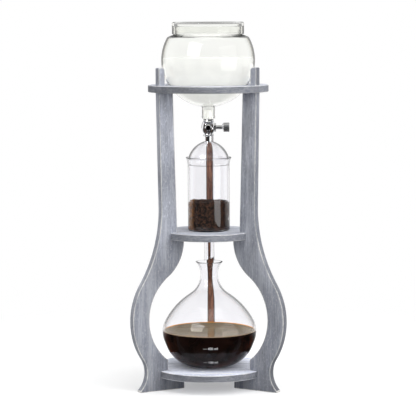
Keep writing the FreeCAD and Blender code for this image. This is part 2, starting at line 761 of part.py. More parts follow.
def brew_chamber():
    """Cylinder, flared rim and drip tube in one piece, about the shelf's top."""
    body = new_body("brew_chamber", "shelf_top")
    turned(body, "glass", [
        ("tube_bore", "-tube_drop"),
        ("tube_radius", "-tube_drop"),
        ("tube_radius", "0"),
        ("chamber_radius - chamber_foot", "0", "chamber_foot", LEFT),
        ("chamber_radius", "chamber_foot"),
        ("chamber_radius", "flare_start", "flare_arc", RIGHT),
        ("chamber_radius + flare_width", "chamber_height"),
        ("flare_bore", "chamber_height", "flare_arc + wall", LEFT),
        ("chamber_bore", "flare_start"),
        ("chamber_bore", "chamber_floor"),
        ("tube_bore", "chamber_floor"),
    ])
    rounded(body, "rim", [("chamber_radius + flare_width", "chamber_height"),
                          ("flare_bore", "chamber_height")], "rim_round")
    bevel = new_sketch(body, "bevel", "XZ_Plane")
    outline(bevel, [
        ("-tube_radius", "-tube_drop"),
        ("tube_radius", "-tube_drop - tube_bevel"),
        ("tube_radius", "tube_bevel - tube_drop"),
    ])
    pocket(body, "bevel_cut", bevel, "3 * tube_radius", middle=True)


def carafe():
    """The carafe, about its own foot."""
    body = new_body("carafe", "plate_top")
    turned(body, "glass", [
        ("0", "0"),
        ("foot_radius", "0", "base_round", LEFT),
        ("wall_foot_x", "wall_foot_z"),
        ("wall_top_x", "wall_top_z", "belly_round", LEFT),
        ("belly_radius", "belly_rise", "belly_crown", LEFT),
        ("belly_top_x", "belly_top_z", "carafe_shoulder", LEFT),
        ("neck_turn_x", "neck_turn_z", "neck_radius", RIGHT),
        ("waist_radius", "waist_z", "lip_radius", RIGHT),
        ("mouth_radius", "carafe_height"),
        ("lip_bore", "carafe_height", "lip_radius + wall", LEFT),
        ("waist_radius - wall", "waist_z", "neck_radius + wall", LEFT),
        ("inner_neck_x", "inner_neck_z", "carafe_shoulder - wall", RIGHT),
        ("inner_belly_x", "inner_belly_z", "belly_crown - wall", RIGHT),
        ("belly_radius - wall", "belly_rise", "belly_round - wall", RIGHT),
        ("inner_top_x", "inner_top_z"),
        ("inner_foot_x", "inner_foot_z", "base_round - wall", RIGHT),
        ("floor_radius", "wall"),
        ("0", "wall"),
    ])
    rounded(body, "rim", [("mouth_radius", "carafe_height"), ("lip_bore", "carafe_height")],
            "rim_round")


# ---------------------------------------------------------------- filter under the coffee

def filter_ring():
    body = new_body("filter_ring", "shelf_top + chamber_floor")
    turned(body, "ring", [
        ("ring_outer - filter_ring_width", "0"),
        ("ring_outer", "0"),
        ("ring_outer", "filter_ring"),
        ("ring_outer - filter_ring_width", "filter_ring"),
    ])


def filter_disc():
    """A steel disc on the ring, with circles of holes round a middle one."""
    body = new_body("filter_disc", "shelf_top + chamber_floor + filter_ring")
    plate = new_sketch(body, "outline", "XY_Plane")
    circle(plate, "0", "0", "filter_radius")
    pad(body, "plate", plate, "filter_disc")
    middle = new_sketch(body, "middle_hole", "XY_Plane")
    circle(middle, "0", "0", "filter_hole")
    pocket(body, "middle_hole_cut", middle, "filter_disc", forward=True)
    for ring in (1, 2, 3):
        sketch = new_sketch(body, "hole_%d" % ring, "XY_Plane")
        circle(sketch, "%d * filter_pitch" % ring, "0", "filter_hole")
        hole = pocket(body, "hole_%d_cut" % ring, sketch, "filter_disc", forward=True)
        repeated(body, "hole_%d_set" % ring, hole, 6 * ring)


# ---------------------------------------------------------------- valve

def outlet_stopper():
    """The silicone stopper, about the end of the globe's outlet."""
    body = new_body("outlet_stopper", "outlet_end")
    turned(body, "silicone", [
        ("stopper_bore", "-stopper_flange"),
        ("outlet_radius", "-stopper_flange"),
        ("outlet_radius", "0"),
        ("stopper_radius", "0"),
        ("stopper_radius", "stopper_depth"),
        ("stopper_bore", "stopper_depth"),
    ])


def collar_washer():
    body = new_body("collar_washer", "valve_height + valve_rise")
    turned(body, "washer", [
        ("stopper_bore", "0"),
        ("washer_radius", "0"),
        ("washer_radius", "washer"),
        ("stopper_bore", "washer"),
    ])


def valve_body():
    """The barrel with its spigot, its lower thread and its bosses, about the valve's centre."""
    body = new_body("valve_body", "valve_height")
    turned(body, "barrel", [
        ("0", "-body_base - foot_thread_length"),
        ("foot_thread", "-body_base - foot_thread_length"),
        ("foot_thread", "-body_base"),
        ("body_foot", "-body_base", "body_radius + 1", LEFT),
        ("body_radius", "0", "2 * body_radius", LEFT),
        ("body_top", "valve_rise - 1"),
        ("body_top", "valve_rise"),
        ("spigot_radius", "valve_rise"),
        ("spigot_radius", "spigot_top"),
        ("0", "spigot_top"),
    ])
    front = new_sketch(body, "front_boss", "XZ_Plane")
    circle(front, "0", "0", "plug_boss")
    pad(body, "front_boss_pad", front, "plug_boss_reach")
    turned(body, "side_face", [
        ("nut_start", "side_boss"),
        ("nut_start", "body_radius"),
        ("2 * body_radius", "body_radius"),
        ("2 * body_radius", "0"),
        ("side_boss_reach", "0"),
        ("side_boss_reach", "side_boss"),
    ], kind="Groove", axis="H_Axis")
    bore = new_sketch(body, "bore", "XY_Plane", "spigot_top")
    circle(bore, "0", "0", "bore_radius")
    pocket(body, "bore_cut", bore, "spigot_top + body_base + foot_thread_length")
    plug = new_sketch(body, "plug_bore", "XZ_Plane", "plug_boss_reach")
    circle(plug, "0", "0", "plug_bore")
    pocket(body, "plug_bore_cut", plug, "plug_thread_length + thread_room")
    turned(body, "needle_bore", [
        ("needle_seat", "0"),
        ("chamber_start", "0"),
        ("2 * body_radius", "0"),
        ("2 * body_radius", "stem_bore"),
        ("chamber_start", "stem_bore"),
        ("chamber_start", "needle_bore"),
        ("needle_seat", "needle_bore"),
    ], kind="Groove", axis="H_Axis")


def valve_plug():
    body = new_body("valve_plug", "valve_height")
    head = new_sketch(body, "head", "XZ_Plane", "plug_face")
    circle(head, "0", "0", "plug_head")
    pad(body, "head_pad", head, "plug_head_height")
    thread = new_sketch(body, "thread", "XZ_Plane", "plug_face")
    circle(thread, "0", "0", "plug_thread")
    pad(body, "thread_pad", thread, "plug_thread_length + seal", down=True)
    socket = new_sketch(body, "socket", "XZ_Plane", "plug_face + plug_head_height")
    hexagon(socket, "plug_socket")
    pocket(body, "socket_cut", socket, "plug_socket_depth")


def plug_seal():
    body = new_body("plug_seal", "valve_height")
    sketch = new_sketch(body, "ring", "XZ_Plane", "plug_boss_reach")
    circle(sketch, "0", "0", "plug_head")
    circle(sketch, "0", "0", "plug_bore")
    pad(body, "ring_pad", sketch, "seal")


def packing_nut():
    """Hexagon nut over the side boss, with a hole for the stem."""
    body = new_body("packing_nut", "valve_height")
    sketch = new_sketch(body, "hexagon", "YZ_Plane", "nut_start")
    hexagon(sketch, "nut_across")
    pad(body, "hexagon_pad", sketch, "nut_end - nut_start")
    for label, radius, depth in (("stem", "stem_bore", "nut_end - nut_start"),
                                 ("thread", "nut_bore", "nut_end - nut_start - nut_web")):
        hole = new_sketch(body, label, "YZ_Plane", "nut_start")
        circle(hole, "0", "0", radius)
        pocket(body, label + "_cut", hole, depth, forward=True)


def stem_packing():
    body = new_body("stem_packing", "valve_height")
    turned(body, "ring", [
        ("side_boss_reach", "stem_bore"),
        ("side_boss_reach", "side_boss"),
        ("nut_end - nut_web", "side_boss"),
        ("nut_end - nut_web", "stem_bore"),
    ], axis="H_Axis")


def valve_needle():
    """Conical needle and stem in one piece, which the knob turns and draws along X."""
    body = new_body("valve_needle", "valve_height")
    turned(body, "needle", [
        ("needle_tip", "0"),
        ("stem_end", "0"),
        ("stem_end", "stem_radius"),
        ("stem_start", "stem_radius"),
        ("stem_start", "needle_radius"),
        ("needle_tip + needle_cone", "needle_radius"),
        ("needle_tip", "needle_radius / 4"),
    ], axis="H_Axis")


def valve_knob():
    body = new_body("valve_knob", "valve_height")
    turned(body, "knob", [
        ("knob_start", "stem_bore"),
        ("knob_start", "knob_small"),
        ("knob_start + knob_cone", "knob_radius"),
        ("knob_end - knob_edge", "knob_radius"),
        ("knob_end", "knob_radius - knob_edge"),
        ("knob_end", "0"),
        ("knob_bore_end", "0"),
        ("knob_bore_end", "stem_bore"),
    ], axis="H_Axis")
    grub = new_sketch(body, "grub", "XY_Plane", "knob_radius")
    circle(grub, "grub_place", "0", "grub_bore")
    pocket(body, "grub_hole", grub, "knob_radius - stem_radius / 2")
    flute = new_sketch(body, "flute", "YZ_Plane", "knob_start + knob_cone")
    circle(flute, "knob_radius", "0", "flute_radius")
    cut = pocket(body, "flute_cut", flute, "knob_end - knob_start", forward=True)
    repeated(body, "flute_set", cut, 24, axis="X_Axis")


def knob_set_screw():
    body = new_body("knob_set_screw", "valve_height")
    sketch = new_sketch(body, "screw", "XY_Plane", "knob_radius - grub_sink")
    circle(sketch, "grub_place", "0", "grub_radius")
    pad(body, "screw_pad", sketch, "knob_radius - grub_sink - stem_bore", down=True)


def valve_nozzle():
    """Flared skirt and outlet tube, screwed on under the barrel."""
    body = new_body("valve_nozzle", "valve_height")
    turned(body, "nozzle", [
        ("foot_thread + thread_gap", "-body_base"),
        ("foot_thread + thread_gap", "-nozzle_socket"),
        ("nozzle_bore", "-nozzle_socket"),
        ("nozzle_bore", "-valve_drop"),
        ("nozzle_radius", "-valve_drop"),
        ("nozzle_radius", "-skirt_foot - skirt_edge"),
        ("skirt_radius - skirt_edge", "-skirt_foot - skirt_edge"),
        ("skirt_radius", "-skirt_foot"),
        ("skirt_top", "-body_base"),
    ])


# ---------------------------------------------------------------- build, check and write

def check():
    """Stops if an object failed, a cut removed nothing or a sketch is loose."""
    for part in DOC.Objects:
        if {"Invalid", "Error"} & set(part.State):
            raise RuntimeError("%s: %s" % (part.Name, part.State))
        if part.isDerivedFrom("Sketcher::SketchObject") and not part.FullyConstrained:
            raise RuntimeError("%s is not fully constrained" % part.Name)
        if part.TypeId in ("PartDesign::Pocket", "PartDesign::Groove"):
            if part.Shape.Volume > part.BaseFeature.Shape.Volume - 0.01:
                raise RuntimeError("%s cuts nothing" % part.Name)
    for part in PARTS:
        if part.Shape.isNull() or not part.Shape.isValid():
            raise RuntimeError("%s has no valid shape" % part.Label)


def write():
    os.makedirs("parts", exist_ok=True)
    for part in PARTS:
        part.Shape.exportStep(os.path.join("parts", part.Label + ".step"))
        box = part.Shape.BoundBox
        print("%-16s %2d solid(s) %9.0f mm3  z %6.1f to %6.1f" % (
            part.Label, len(part.Shape.Solids), part.Shape.Volume, box.ZMin, box.ZMax))


fill_sheet()
for leg_name, leg_turn in LEG_TURNS.items():
    leg(leg_name, leg_turn)
for make in (top_ring, middle_shelf, bottom_plate, dowels, foot_screws,
             water_globe, globe_lid, dome_lid, brew_chamber, carafe, filter_ring, filter_disc,
             outlet_stopper, collar_washer, valve_body, valve_plug, plug_seal, packing_nut,
             stem_packing, valve_needle, valve_knob, knob_set_screw, valve_nozzle):
    make()
DOC.recompute()
check()
write()
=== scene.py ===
"""Looks of the cold drip coffee tower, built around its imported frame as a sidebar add-on.

Metres, +Z up, the tower's axis on Z and the floor at Z = 0. Outlines are written in millimetres.
"""
import math

import bmesh
import bpy
from bpy.props import FloatProperty, FloatVectorProperty, PointerProperty
from mathutils import Matrix, Vector, noise
from mathutils.bvhtree import BVHTree


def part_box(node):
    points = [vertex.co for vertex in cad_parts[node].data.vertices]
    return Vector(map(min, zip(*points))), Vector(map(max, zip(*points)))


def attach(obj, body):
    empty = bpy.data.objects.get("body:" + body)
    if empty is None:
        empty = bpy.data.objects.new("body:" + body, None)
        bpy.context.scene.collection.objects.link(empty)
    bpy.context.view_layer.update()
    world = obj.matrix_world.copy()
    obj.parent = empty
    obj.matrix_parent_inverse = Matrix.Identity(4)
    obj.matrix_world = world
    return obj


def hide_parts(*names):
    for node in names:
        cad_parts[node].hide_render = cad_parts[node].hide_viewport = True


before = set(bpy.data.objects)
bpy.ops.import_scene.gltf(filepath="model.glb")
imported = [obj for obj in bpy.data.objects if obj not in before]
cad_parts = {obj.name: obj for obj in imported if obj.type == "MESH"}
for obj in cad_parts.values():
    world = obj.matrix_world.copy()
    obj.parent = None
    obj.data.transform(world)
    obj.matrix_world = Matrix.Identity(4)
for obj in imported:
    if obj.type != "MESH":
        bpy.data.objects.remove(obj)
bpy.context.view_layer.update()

bl_info = {
    "name": "Cold Drip Coffee Tower",
    "version": (1, 0, 0),
    "blender": (4, 5, 0),
    "location": "3D View > Sidebar > Drip Tower",
    "description": "Builds the timber, glass, valve and coffee of a cold drip tower on its frame",
    "category": "Object",
}

MM = 0.001
MERGE = 1e-7                                # metres within which two points are one
PLATE_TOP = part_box("bottom_plate")[1].z
SHELF_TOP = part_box("middle_shelf")[1].z
CAP_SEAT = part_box("water_globe")[1].z
GLOBE_RISE = 53.5                           # the cap's seat above the globe's centre
GLOBE_CENTRE = CAP_SEAT - GLOBE_RISE * MM
CHAMBER_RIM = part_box("brew_chamber")[1].z
VALVE_CENTRE = sum(corner.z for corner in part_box("valve_knob")) / 2
LEG_AZIMUTHS = {"back": 90.0, "left": 210.0, "right": 330.0}


# ---------------------------------------------------------------- sizes and colours

def colour_setting(name, default, description):
    """A colour that a user may change."""
    return FloatVectorProperty(name=name, description=description, subtype="COLOR", size=3,
                               min=0, max=1, default=default)


def length_setting(name, default, least, most, description):
    """A length in metres that a user may change."""
    return FloatProperty(name=name, description=description, subtype="DISTANCE",
                         unit="LENGTH", min=least, max=most, default=default)


class TimberSettings(bpy.types.PropertyGroup):
    """Colours and edges of the frame's boards."""
    wash: colour_setting("Wash", (0.343, 0.362, 0.428), "Grey wash on the boards")
    pale: colour_setting("Pale Grain", (0.60, 0.62, 0.675),
                         "Wash where it sits thin on raised grain")
    bare: colour_setting("Stained Edge", (0.105, 0.032, 0.011),
                         "Brown stain on the legs' inner edges")
    arris: length_setting("Arris", 0.0011, 0.0002, 0.003, "Rounding of the boards' edges")


class GlassSettings(bpy.types.PropertyGroup):
    """Colour of the glass and what stands in it."""
    tint: colour_setting("Tint", (0.975, 0.972, 0.99),
                         "Colour of the chamber's and carafe's glass")
    globe_tint: colour_setting("Globe Tint", (0.966, 0.969, 0.952),
                               "Colour of the globe's glass")
    water_level: length_setting("Water Level", 0.0035, -0.05, 0.03,
                                "Iced water above the globe's centre")
    coffee_level: length_setting("Coffee Level", 0.0575, 0.01, 0.1,
                                 "Brewed coffee above the bottom plate")
    bed_height: length_setting("Coffee Bed", 0.0415, 0.005, 0.09,
                               "Ground coffee above the filter")


class ValveSettings(bpy.types.PropertyGroup):
    """Finish of the needle valve."""
    chrome: colour_setting("Chrome", (0.86, 0.86, 0.87), "Colour of the plated brass")
    edge: length_setting("Edge", 0.0002, 0.00005, 0.0006, "Rounding of the turned edges")


class StudioSettings(bpy.types.PropertyGroup):
    """Lamps and camera."""
    sky: FloatProperty(
        name="Room Light", description="Even light from all round", min=0, max=2, default=0.8)
    lens: FloatProperty(
        name="Lens", description="Focal length in millimetres", min=20, max=400, default=155.67)
    distance: length_setting("Camera Distance", 2.8495, 0.5, 10, "Camera to the tower's axis")
    height: length_setting("Camera Height", 0.5731, 0, 3, "Camera above the floor")


class TowerSettings(bpy.types.PropertyGroup):
    """Everything that a user may change before the pieces are built."""
    timber: PointerProperty(type=TimberSettings)
    glass: PointerProperty(type=GlassSettings)
    valve: PointerProperty(type=ValveSettings)
    studio: PointerProperty(type=StudioSettings)


def settings():
    """The values in the sidebar."""
    return bpy.context.scene.drip_tower


# ---------------------------------------------------------------- shapes

ARC_SAG = 0.02 * MM                         # how far a chord may leave its arc


def trace(bm, path, roundings=()):
    """Draws an outline in the XZ plane from (x, z) corners; (x, z, radius) arrives on an arc.

    An arc with a radius above 0 bends to the left of the way. roundings gives a corner's number
    and the width of its rounding. An outline that starts off the axis is closed.
    """
    first = last = bm.verts.new((path[0][0] * MM, 0, path[0][1] * MM))
    corners = [first]
    for x, z, *curve in path[1:]:
        end = Vector((x * MM, 0, z * MM))
        if curve:
            side = math.copysign(1, curve[0])
            radius = abs(curve[0]) * MM
            chord = end - last.co
            reach = math.sqrt(max(0, radius ** 2 - chord.length_squared / 4))
            across = Vector((-chord.z, 0, chord.x)).normalized() * side
            turn = 2 * math.asin(min(1, chord.length / 2 / radius))
            step = 2 * math.acos(1 - min(0.5, ARC_SAG / radius))
            arc = bmesh.ops.spin(
                bm, geom=[last], cent=(last.co + end) / 2 + across * reach, axis=(0, -side, 0),
                angle=turn, steps=max(2, math.ceil(turn / step)))
            last = arc["geom_last"][0]
        else:
            last = bmesh.ops.extrude_vert_indiv(bm, verts=[last])["verts"][0]
            last.co = end
        corners.append(last)
    if path[0][0]:
        bm.edges.new((last, first))
    for number, width in roundings:
        bmesh.ops.bevel(bm, geom=[corners[number]], offset=width * MM, offset_type="OFFSET",
                        segments=4, profile=0.5, affect="VERTICES", material=-1)


def soften(bm, width):
    """Rounds every edge that turns by more than 30 degrees; returns the new faces."""
    sharp = [e for e in bm.edges
             if e.is_manifold and e.calc_face_angle() > math.radians(30)]
    return bmesh.ops.bevel(bm, geom=sharp, offset=width, offset_type="OFFSET",
                           segments=3, profile=0.5, affect="EDGES",
                           clamp_overlap=True, material=-1)["faces"]


def spun(path, roundings=(), steps=144):
    """Turns an outline round the Z axis."""
    bm = bmesh.new()
    trace(bm, path, roundings)
    bmesh.ops.spin(bm, geom=bm.verts[:] + bm.edges[:], cent=(0, 0, 0), axis=(0, 0, 1),
                   angle=math.tau, steps=steps, use_merge=True)
    bmesh.ops.remove_doubles(bm, verts=bm.verts[:], dist=MERGE)
    return bm


def lathed(path, height=0.0, roundings=(), steps=144):
    """Turns a closed outline round the tower's axis and lifts it to its height."""
    bm = spun(path, roundings, steps)
    bmesh.ops.recalc_face_normals(bm, faces=bm.faces[:])
    bmesh.ops.translate(bm, verts=bm.verts[:], vec=(0, 0, height))
    return bm


def sliced(bm, place, normal, drop_outer=False):
    """Cuts a shape along a plane; returns the edges of the cut."""
    cut = bmesh.ops.bisect_plane(
        bm, geom=bm.verts[:] + bm.edges[:] + bm.faces[:], dist=MERGE,
        plane_co=place, plane_no=normal, clear_outer=drop_outer)
    return [e for e in cut["geom_cut"] if isinstance(e, bmesh.types.BMEdge)]


def piece(bm, name, body, material, stands_for=(), crease=35):
    """Makes the shape an object that rides on a body. Glass lets the lamps' light through."""
    mesh = bpy.data.meshes.new(name)
    bm.to_mesh(mesh)
    bm.free()
    mesh.shade_smooth()
    mesh.set_sharp_from_angle(angle=math.radians(crease))
    mesh.materials.append(material)
    thing = bpy.data.objects.new(name, mesh)
    bpy.context.scene.collection.objects.link(thing)
    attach(thing, body)
    if stands_for:
        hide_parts(*stands_for)
    thing.visible_shadow = "glass" not in material.name
    return thing


def dress(node, material):
    """Gives a CAD node its material."""
    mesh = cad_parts[node].data
    mesh.materials.clear()
    mesh.materials.append(material)


# ---------------------------------------------------------------- shader building

def add(tree, kind, inputs=None, **options):
    """Adds a shader node; an input is a number, a colour or another node's output."""
    node = tree.nodes.new("ShaderNode" + kind)
    for name, value in options.items():
        setattr(node, name, value)
    for name, value in (inputs or {}).items():
        if isinstance(value, bpy.types.NodeSocket):
            tree.links.new(value, node.inputs[name])
        else:
            node.inputs[name].default_value = value
    return node


def sum_up(tree, operation, *values):
    """A Math node's result."""
    node = add(tree, "Math", dict(enumerate(values)), operation=operation)
    return node.outputs[0]


def times(tree, first, second):
    """The product of two values."""
    return sum_up(tree, "MULTIPLY", first, second)


def between(tree, value, low, high, start=0.0, end=1.0):
    """Maps value from low..high to start..end, smoothly and clamped."""
    node = add(tree, "MapRange", {0: value, 1: low, 2: high, 3: start, 4: end},
               interpolation_type="SMOOTHSTEP")
    return node.outputs[0]


def blend(tree, factor, first, second, mode="MIX"):
    """Mixes two colours."""
    node = add(tree, "Mix", {0: factor, 6: first, 7: second}, data_type="RGBA",
               blend_type=mode)
    return node.outputs[2]


def noise_of(tree, vector, scale, detail=2.0, roughness=0.5, distortion=0.0):
    """A noise texture's value."""
    node = add(tree, "TexNoise", {"Vector": vector, "Scale": scale, "Detail": detail,
                                  "Roughness": roughness, "Distortion": distortion})
    return node.outputs["Fac"]


def stretched(tree, vector, scale=(1, 1, 1), turn=(0, 0, 0)):
    """Coordinates scaled and turned; a scale below 1 draws a pattern out."""
    node = add(tree, "Mapping", {"Vector": vector, "Rotation": turn, "Scale": scale})
    return node.outputs["Vector"]


def new_group(name, inputs, outputs):
    """A node group with named inputs and outputs, built once."""
    tree = bpy.data.node_groups.new(name, "ShaderNodeTree")
    for label, kind, default in inputs:
        socket = tree.interface.new_socket(name=label, in_out="INPUT",
                                           socket_type="NodeSocket" + kind)
        if default is not None:
            socket.default_value = default
    for label, kind in outputs:
        tree.interface.new_socket(name=label, in_out="OUTPUT",
                                  socket_type="NodeSocket" + kind)
    return tree, tree.nodes.new("NodeGroupInput"), tree.nodes.new("NodeGroupOutput")


def grouped(tree, name, inputs):
    """Places a node group in a material."""
    return add(tree, "Group", inputs, node_tree=bpy.data.node_groups[name])


def new_material(name, **plain):
    """A material with its plain values on the shader's own sockets."""
    material = bpy.data.materials.new(name)
    material.use_nodes = True
    tree = material.node_tree
    shader = tree.nodes["Principled BSDF"]
    for label, value in plain.items():
        shader.inputs[label.replace("_", " ")].default_value = value
    return material, tree, shader


def wire(tree, node, **outputs):
    """Links outputs to a node's inputs, which are named with _ for a space."""
    for label, output in outputs.items():
        tree.links.new(output, node.inputs[label.replace("_", " ")])


def object_place(tree):
    """The object's own coordinates."""
    return add(tree, "TexCoord").outputs["Object"]


def parts_of(tree, vector):
    """The X, Y and Z of a vector."""
    return add(tree, "SeparateXYZ", {0: vector}).outputs


def marked(tree, name):
    """The value of a mesh attribute."""
    return add(tree, "Attribute", attribute_name=name).outputs["Fac"]


def bumped(tree, shader, height, distance, strength):
    """Raises the surface by height times distance, in metres."""
    bump = add(tree, "Bump", {"Height": height, "Distance": distance, "Strength": strength})
    wire(tree, shader, Normal=bump.outputs["Normal"])


def opaque(colour):
    """A colour with its alpha."""
    return (*colour, 1.0)


# ---------------------------------------------------------------- shared effects

def build_wash_group():
    """Grey wash over grain that runs along Z, worn pale on the arrises."""
    tree, given, made = new_group(
        "Grey Wash",
        [("Vector", "Vector", None), ("Arris", "Float", 0.0), ("Stain", "Float", 0.0),
         ("Burn", "Float", 0.0), ("Painted Light", "Float", 1.0),
         ("Wash", "Color", (0.28, 0.29, 0.34, 1)), ("Pale", "Color", (0.47, 0.48, 0.53, 1)),
         ("Bare", "Color", (0.13, 0.06, 0.04, 1))],
        [("Color", "Color"), ("Roughness", "Float"), ("Height", "Float")])
    place = given.outputs["Vector"]
    along = stretched(tree, place, (1, 1, 0.04))
    broad = noise_of(tree, along, 95, 3, 0.55, 0.3)
    fine = noise_of(tree, along, 520, 3, 0.75)
    pores = noise_of(tree, stretched(tree, place, (1, 1, 0.12)), 1300, 2, 0.6)
    fleck = noise_of(tree, stretched(tree, place, (1, 1, 0.35)), 520, 4, 0.8)
    cloud = noise_of(tree, stretched(tree, place, (1, 1, 0.35)), 40, 3, 0.55)
    grain = sum_up(tree, "ADD", times(tree, broad, 0.4), times(tree, fine, 0.6))
    light = between(tree, grain, 0.42, 0.60)
    speck = between(tree, fleck, 0.53, 0.64)
    light = sum_up(tree, "MAXIMUM", times(tree, light, 0.75), speck)
    colour = blend(tree, light, given.outputs["Wash"], given.outputs["Pale"])
    shade = between(tree, cloud, 0.3, 0.7, 0.82, 1.16)
    dark = between(tree, pores, 0.26, 0.44, 0.62, 1.0)
    # The last factor is painted light and shade from the material; the cloud and the pores are
    # the wash's own uneven tone.
    tone = times(tree, times(tree, shade, dark), given.outputs["Painted Light"])
    grey = add(tree, "CombineColor", {0: tone, 1: tone, 2: tone}).outputs[0]
    colour = blend(tree, 1.0, colour, grey, "MULTIPLY")
    rubbed = times(tree, given.outputs["Arris"],
                   between(tree, sum_up(tree, "ADD", fleck, broad), 0.82, 1.12, 0.35, 1.0))
    colour = blend(tree, times(tree, rubbed, 0.85), colour, (0.78, 0.765, 0.74, 1))
    stain = times(tree, given.outputs["Stain"], between(tree, grain, 0.3, 0.62, 1.0, 0.85))
    brown = blend(tree, between(tree, grain, 0.42, 0.60), given.outputs["Bare"],
                  (0.39, 0.128, 0.03, 1))
    brown = blend(tree, between(tree, pores, 0.3, 0.46, 0.8, 0.0), brown,
                  (0.03, 0.014, 0.01, 1))
    burnt = between(tree, sum_up(tree, "ADD", given.outputs["Burn"], fleck), 0.75, 1.35)
    burnt = sum_up(tree, "MAXIMUM", given.outputs["Arris"], burnt)
    brown = blend(tree, times(tree, burnt, 0.85), brown, (0.018, 0.009, 0.007, 1))
    wire(tree, made, Color=blend(tree, stain, colour, brown),
         Roughness=between(tree, grain, 0.35, 0.7, 0.62, 0.48),
         Height=sum_up(tree, "ADD", fine, times(tree, pores, 0.5)))


def build_smudge_group():
    """Faint smears on polished glass and metal, and a slow waviness of the surface."""
    tree, given, made = new_group(
        "Smudge", [("Vector", "Vector", None), ("Least", "Float", 0.0), ("Most", "Float", 0.05)],
        [("Roughness", "Float"), ("Wave", "Float")])
    smear = noise_of(tree, stretched(tree, given.outputs["Vector"], (1, 1, 0.4)), 60, 4, 0.6, 1.2)
    level = add(tree, "MapRange", {0: smear, 1: 0.45, 2: 0.75, 3: given.outputs["Least"],
                                   4: given.outputs["Most"]}).outputs[0]
    wire(tree, made, Roughness=level, Wave=noise_of(tree, given.outputs["Vector"], 14, 1, 0.4))


def build_rim_group():
    """Where a turned disc's rims are: 1 at the given radius and height, 0 a little way off."""
    tree, given, made = new_group(
        "Disc Rim", [("Vector", "Vector", None), ("Radius", "Float", 0.1), ("Low", "Float", 0.0),
                     ("High", "Float", 0.01), ("Reach", "Float", 0.002)], [("Arris", "Float")])
    parts = parts_of(tree, given.outputs["Vector"])
    flat = add(tree, "CombineXYZ", {0: parts["X"], 1: parts["Y"]})
    radius = add(tree, "VectorMath", {0: flat.outputs[0]}, operation="LENGTH").outputs["Value"]
    out, low, high = (
        sum_up(tree, "ABSOLUTE", sum_up(tree, "SUBTRACT", value, given.outputs[edge]))
        for value, edge in ((radius, "Radius"), (parts["Z"], "Low"), (parts["Z"], "High")))
    near = sum_up(tree, "MAXIMUM", out, sum_up(tree, "MINIMUM", low, high))
    wire(tree, made, Arris=between(tree, near, 0.0, given.outputs["Reach"], 1.0, 0.0))


# ---------------------------------------------------------------- materials

SIDES = -0.05, 0.05                         # X beyond which a leg is the left or right one
RIM_WEAR, BORE_WEAR = 0.0014, 0.0015        # metres that a disc's worn edges reach


def washed(tree, shader, place, tone, **masks):
    """Gives a timber its wash, times tone, which is painted light and shade. Its grain runs along
    the Z of place.
    """
    timber = settings().timber
    wash = grouped(tree, "Grey Wash", {
        "Vector": place, "Painted Light": tone, "Wash": opaque(timber.wash),
        "Pale": opaque(timber.pale), "Bare": opaque(timber.bare), **masks})
    wire(tree, shader, Base_Color=wash.outputs["Color"], Roughness=wash.outputs["Roughness"])
    bumped(tree, shader, wash.outputs["Height"], 0.0004, 0.55)


def leg_timber():
    """The legs' wash, with painted light and shade: dark at the foot, pale under the ring, and
    darker on the right leg's outer rim.
    """
    material, tree, shader = new_material("leg_timber", Specular_IOR_Level=0.25)
    place = object_place(tree)
    parts = parts_of(tree, place)
    painted_light_under_ring = between(tree, parts["X"], *SIDES, 1.44, 1.24)
    # Painted light and shade by height: darker at the foot, lighter up the legs and most under
    # the ring, the left leg more than the right, and darker from the ring's bottom up.
    tone = 1.0
    for low, high, start, end in ((-0.02, 0.07, 0.52, 0.72), (0.12, 0.30, 1.0, 1.36),
                                  (0.34, 0.46, 1.0, painted_light_under_ring), (0.470, 0.482, 1.0, 0.68)):
        tone = times(tree, tone, between(tree, parts["Z"], low, high, start, end))
    # Painted shade: the right leg's outer rim is darker.
    painted_shade_on_rim = times(tree, marked(tree, "outer"), between(tree, parts["X"], *SIDES, 0.0, 0.4))
    tone = times(tree, tone, sum_up(tree, "SUBTRACT", 1.0, painted_shade_on_rim))
    washed(tree, shader, place, tone, Arris=marked(tree, "arris"),
           Stain=marked(tree, "stain"), Burn=marked(tree, "burn"))
    return material


def disc_timber(node, radius, rim, top, bore=None):
    """The legs' wash on a disc, with its grain along X and its own worn rims. Its upright faces
    carry the painted shade rim and its level faces the painted light top.
    """
    material, tree, shader = new_material(node + "_timber", Specular_IOR_Level=0.25)
    place = object_place(tree)
    low, high = (corner.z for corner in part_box(node))
    arris = 0.0
    for edge, reach in ((radius, RIM_WEAR), (bore, BORE_WEAR)):
        if edge:
            worn = grouped(tree, "Disc Rim", {"Vector": place, "Radius": edge * MM, "Low": low,
                                              "High": high, "Reach": reach}).outputs[0]
            arris = sum_up(tree, "MAXIMUM", arris, worn)
    # Painted light and shade by facing: rim darkens the upright faces, top lightens the level
    # ones.
    facing = parts_of(tree, add(tree, "NewGeometry").outputs["True Normal"])
    level = sum_up(tree, "ABSOLUTE", facing["Z"])
    washed(tree, shader, stretched(tree, place, turn=(0, math.pi / 2, 0)),
           between(tree, level, 0.1, 0.9, rim, top), Arris=arris)
    return material


def beech():
    """The dowels' bare wood, grained along Z."""
    material, tree, shader = new_material("beech", Roughness=0.6)
    grain = noise_of(tree, stretched(tree, object_place(tree), (1, 1, 0.06)), 900, 3, 0.6)
    wire(tree, shader, Base_Color=blend(tree, between(tree, grain, 0.35, 0.65),
                                        (0.52, 0.36, 0.2, 1), (0.68, 0.51, 0.31, 1)))
    bumped(tree, shader, grain, 0.0002, 0.5)
    return material


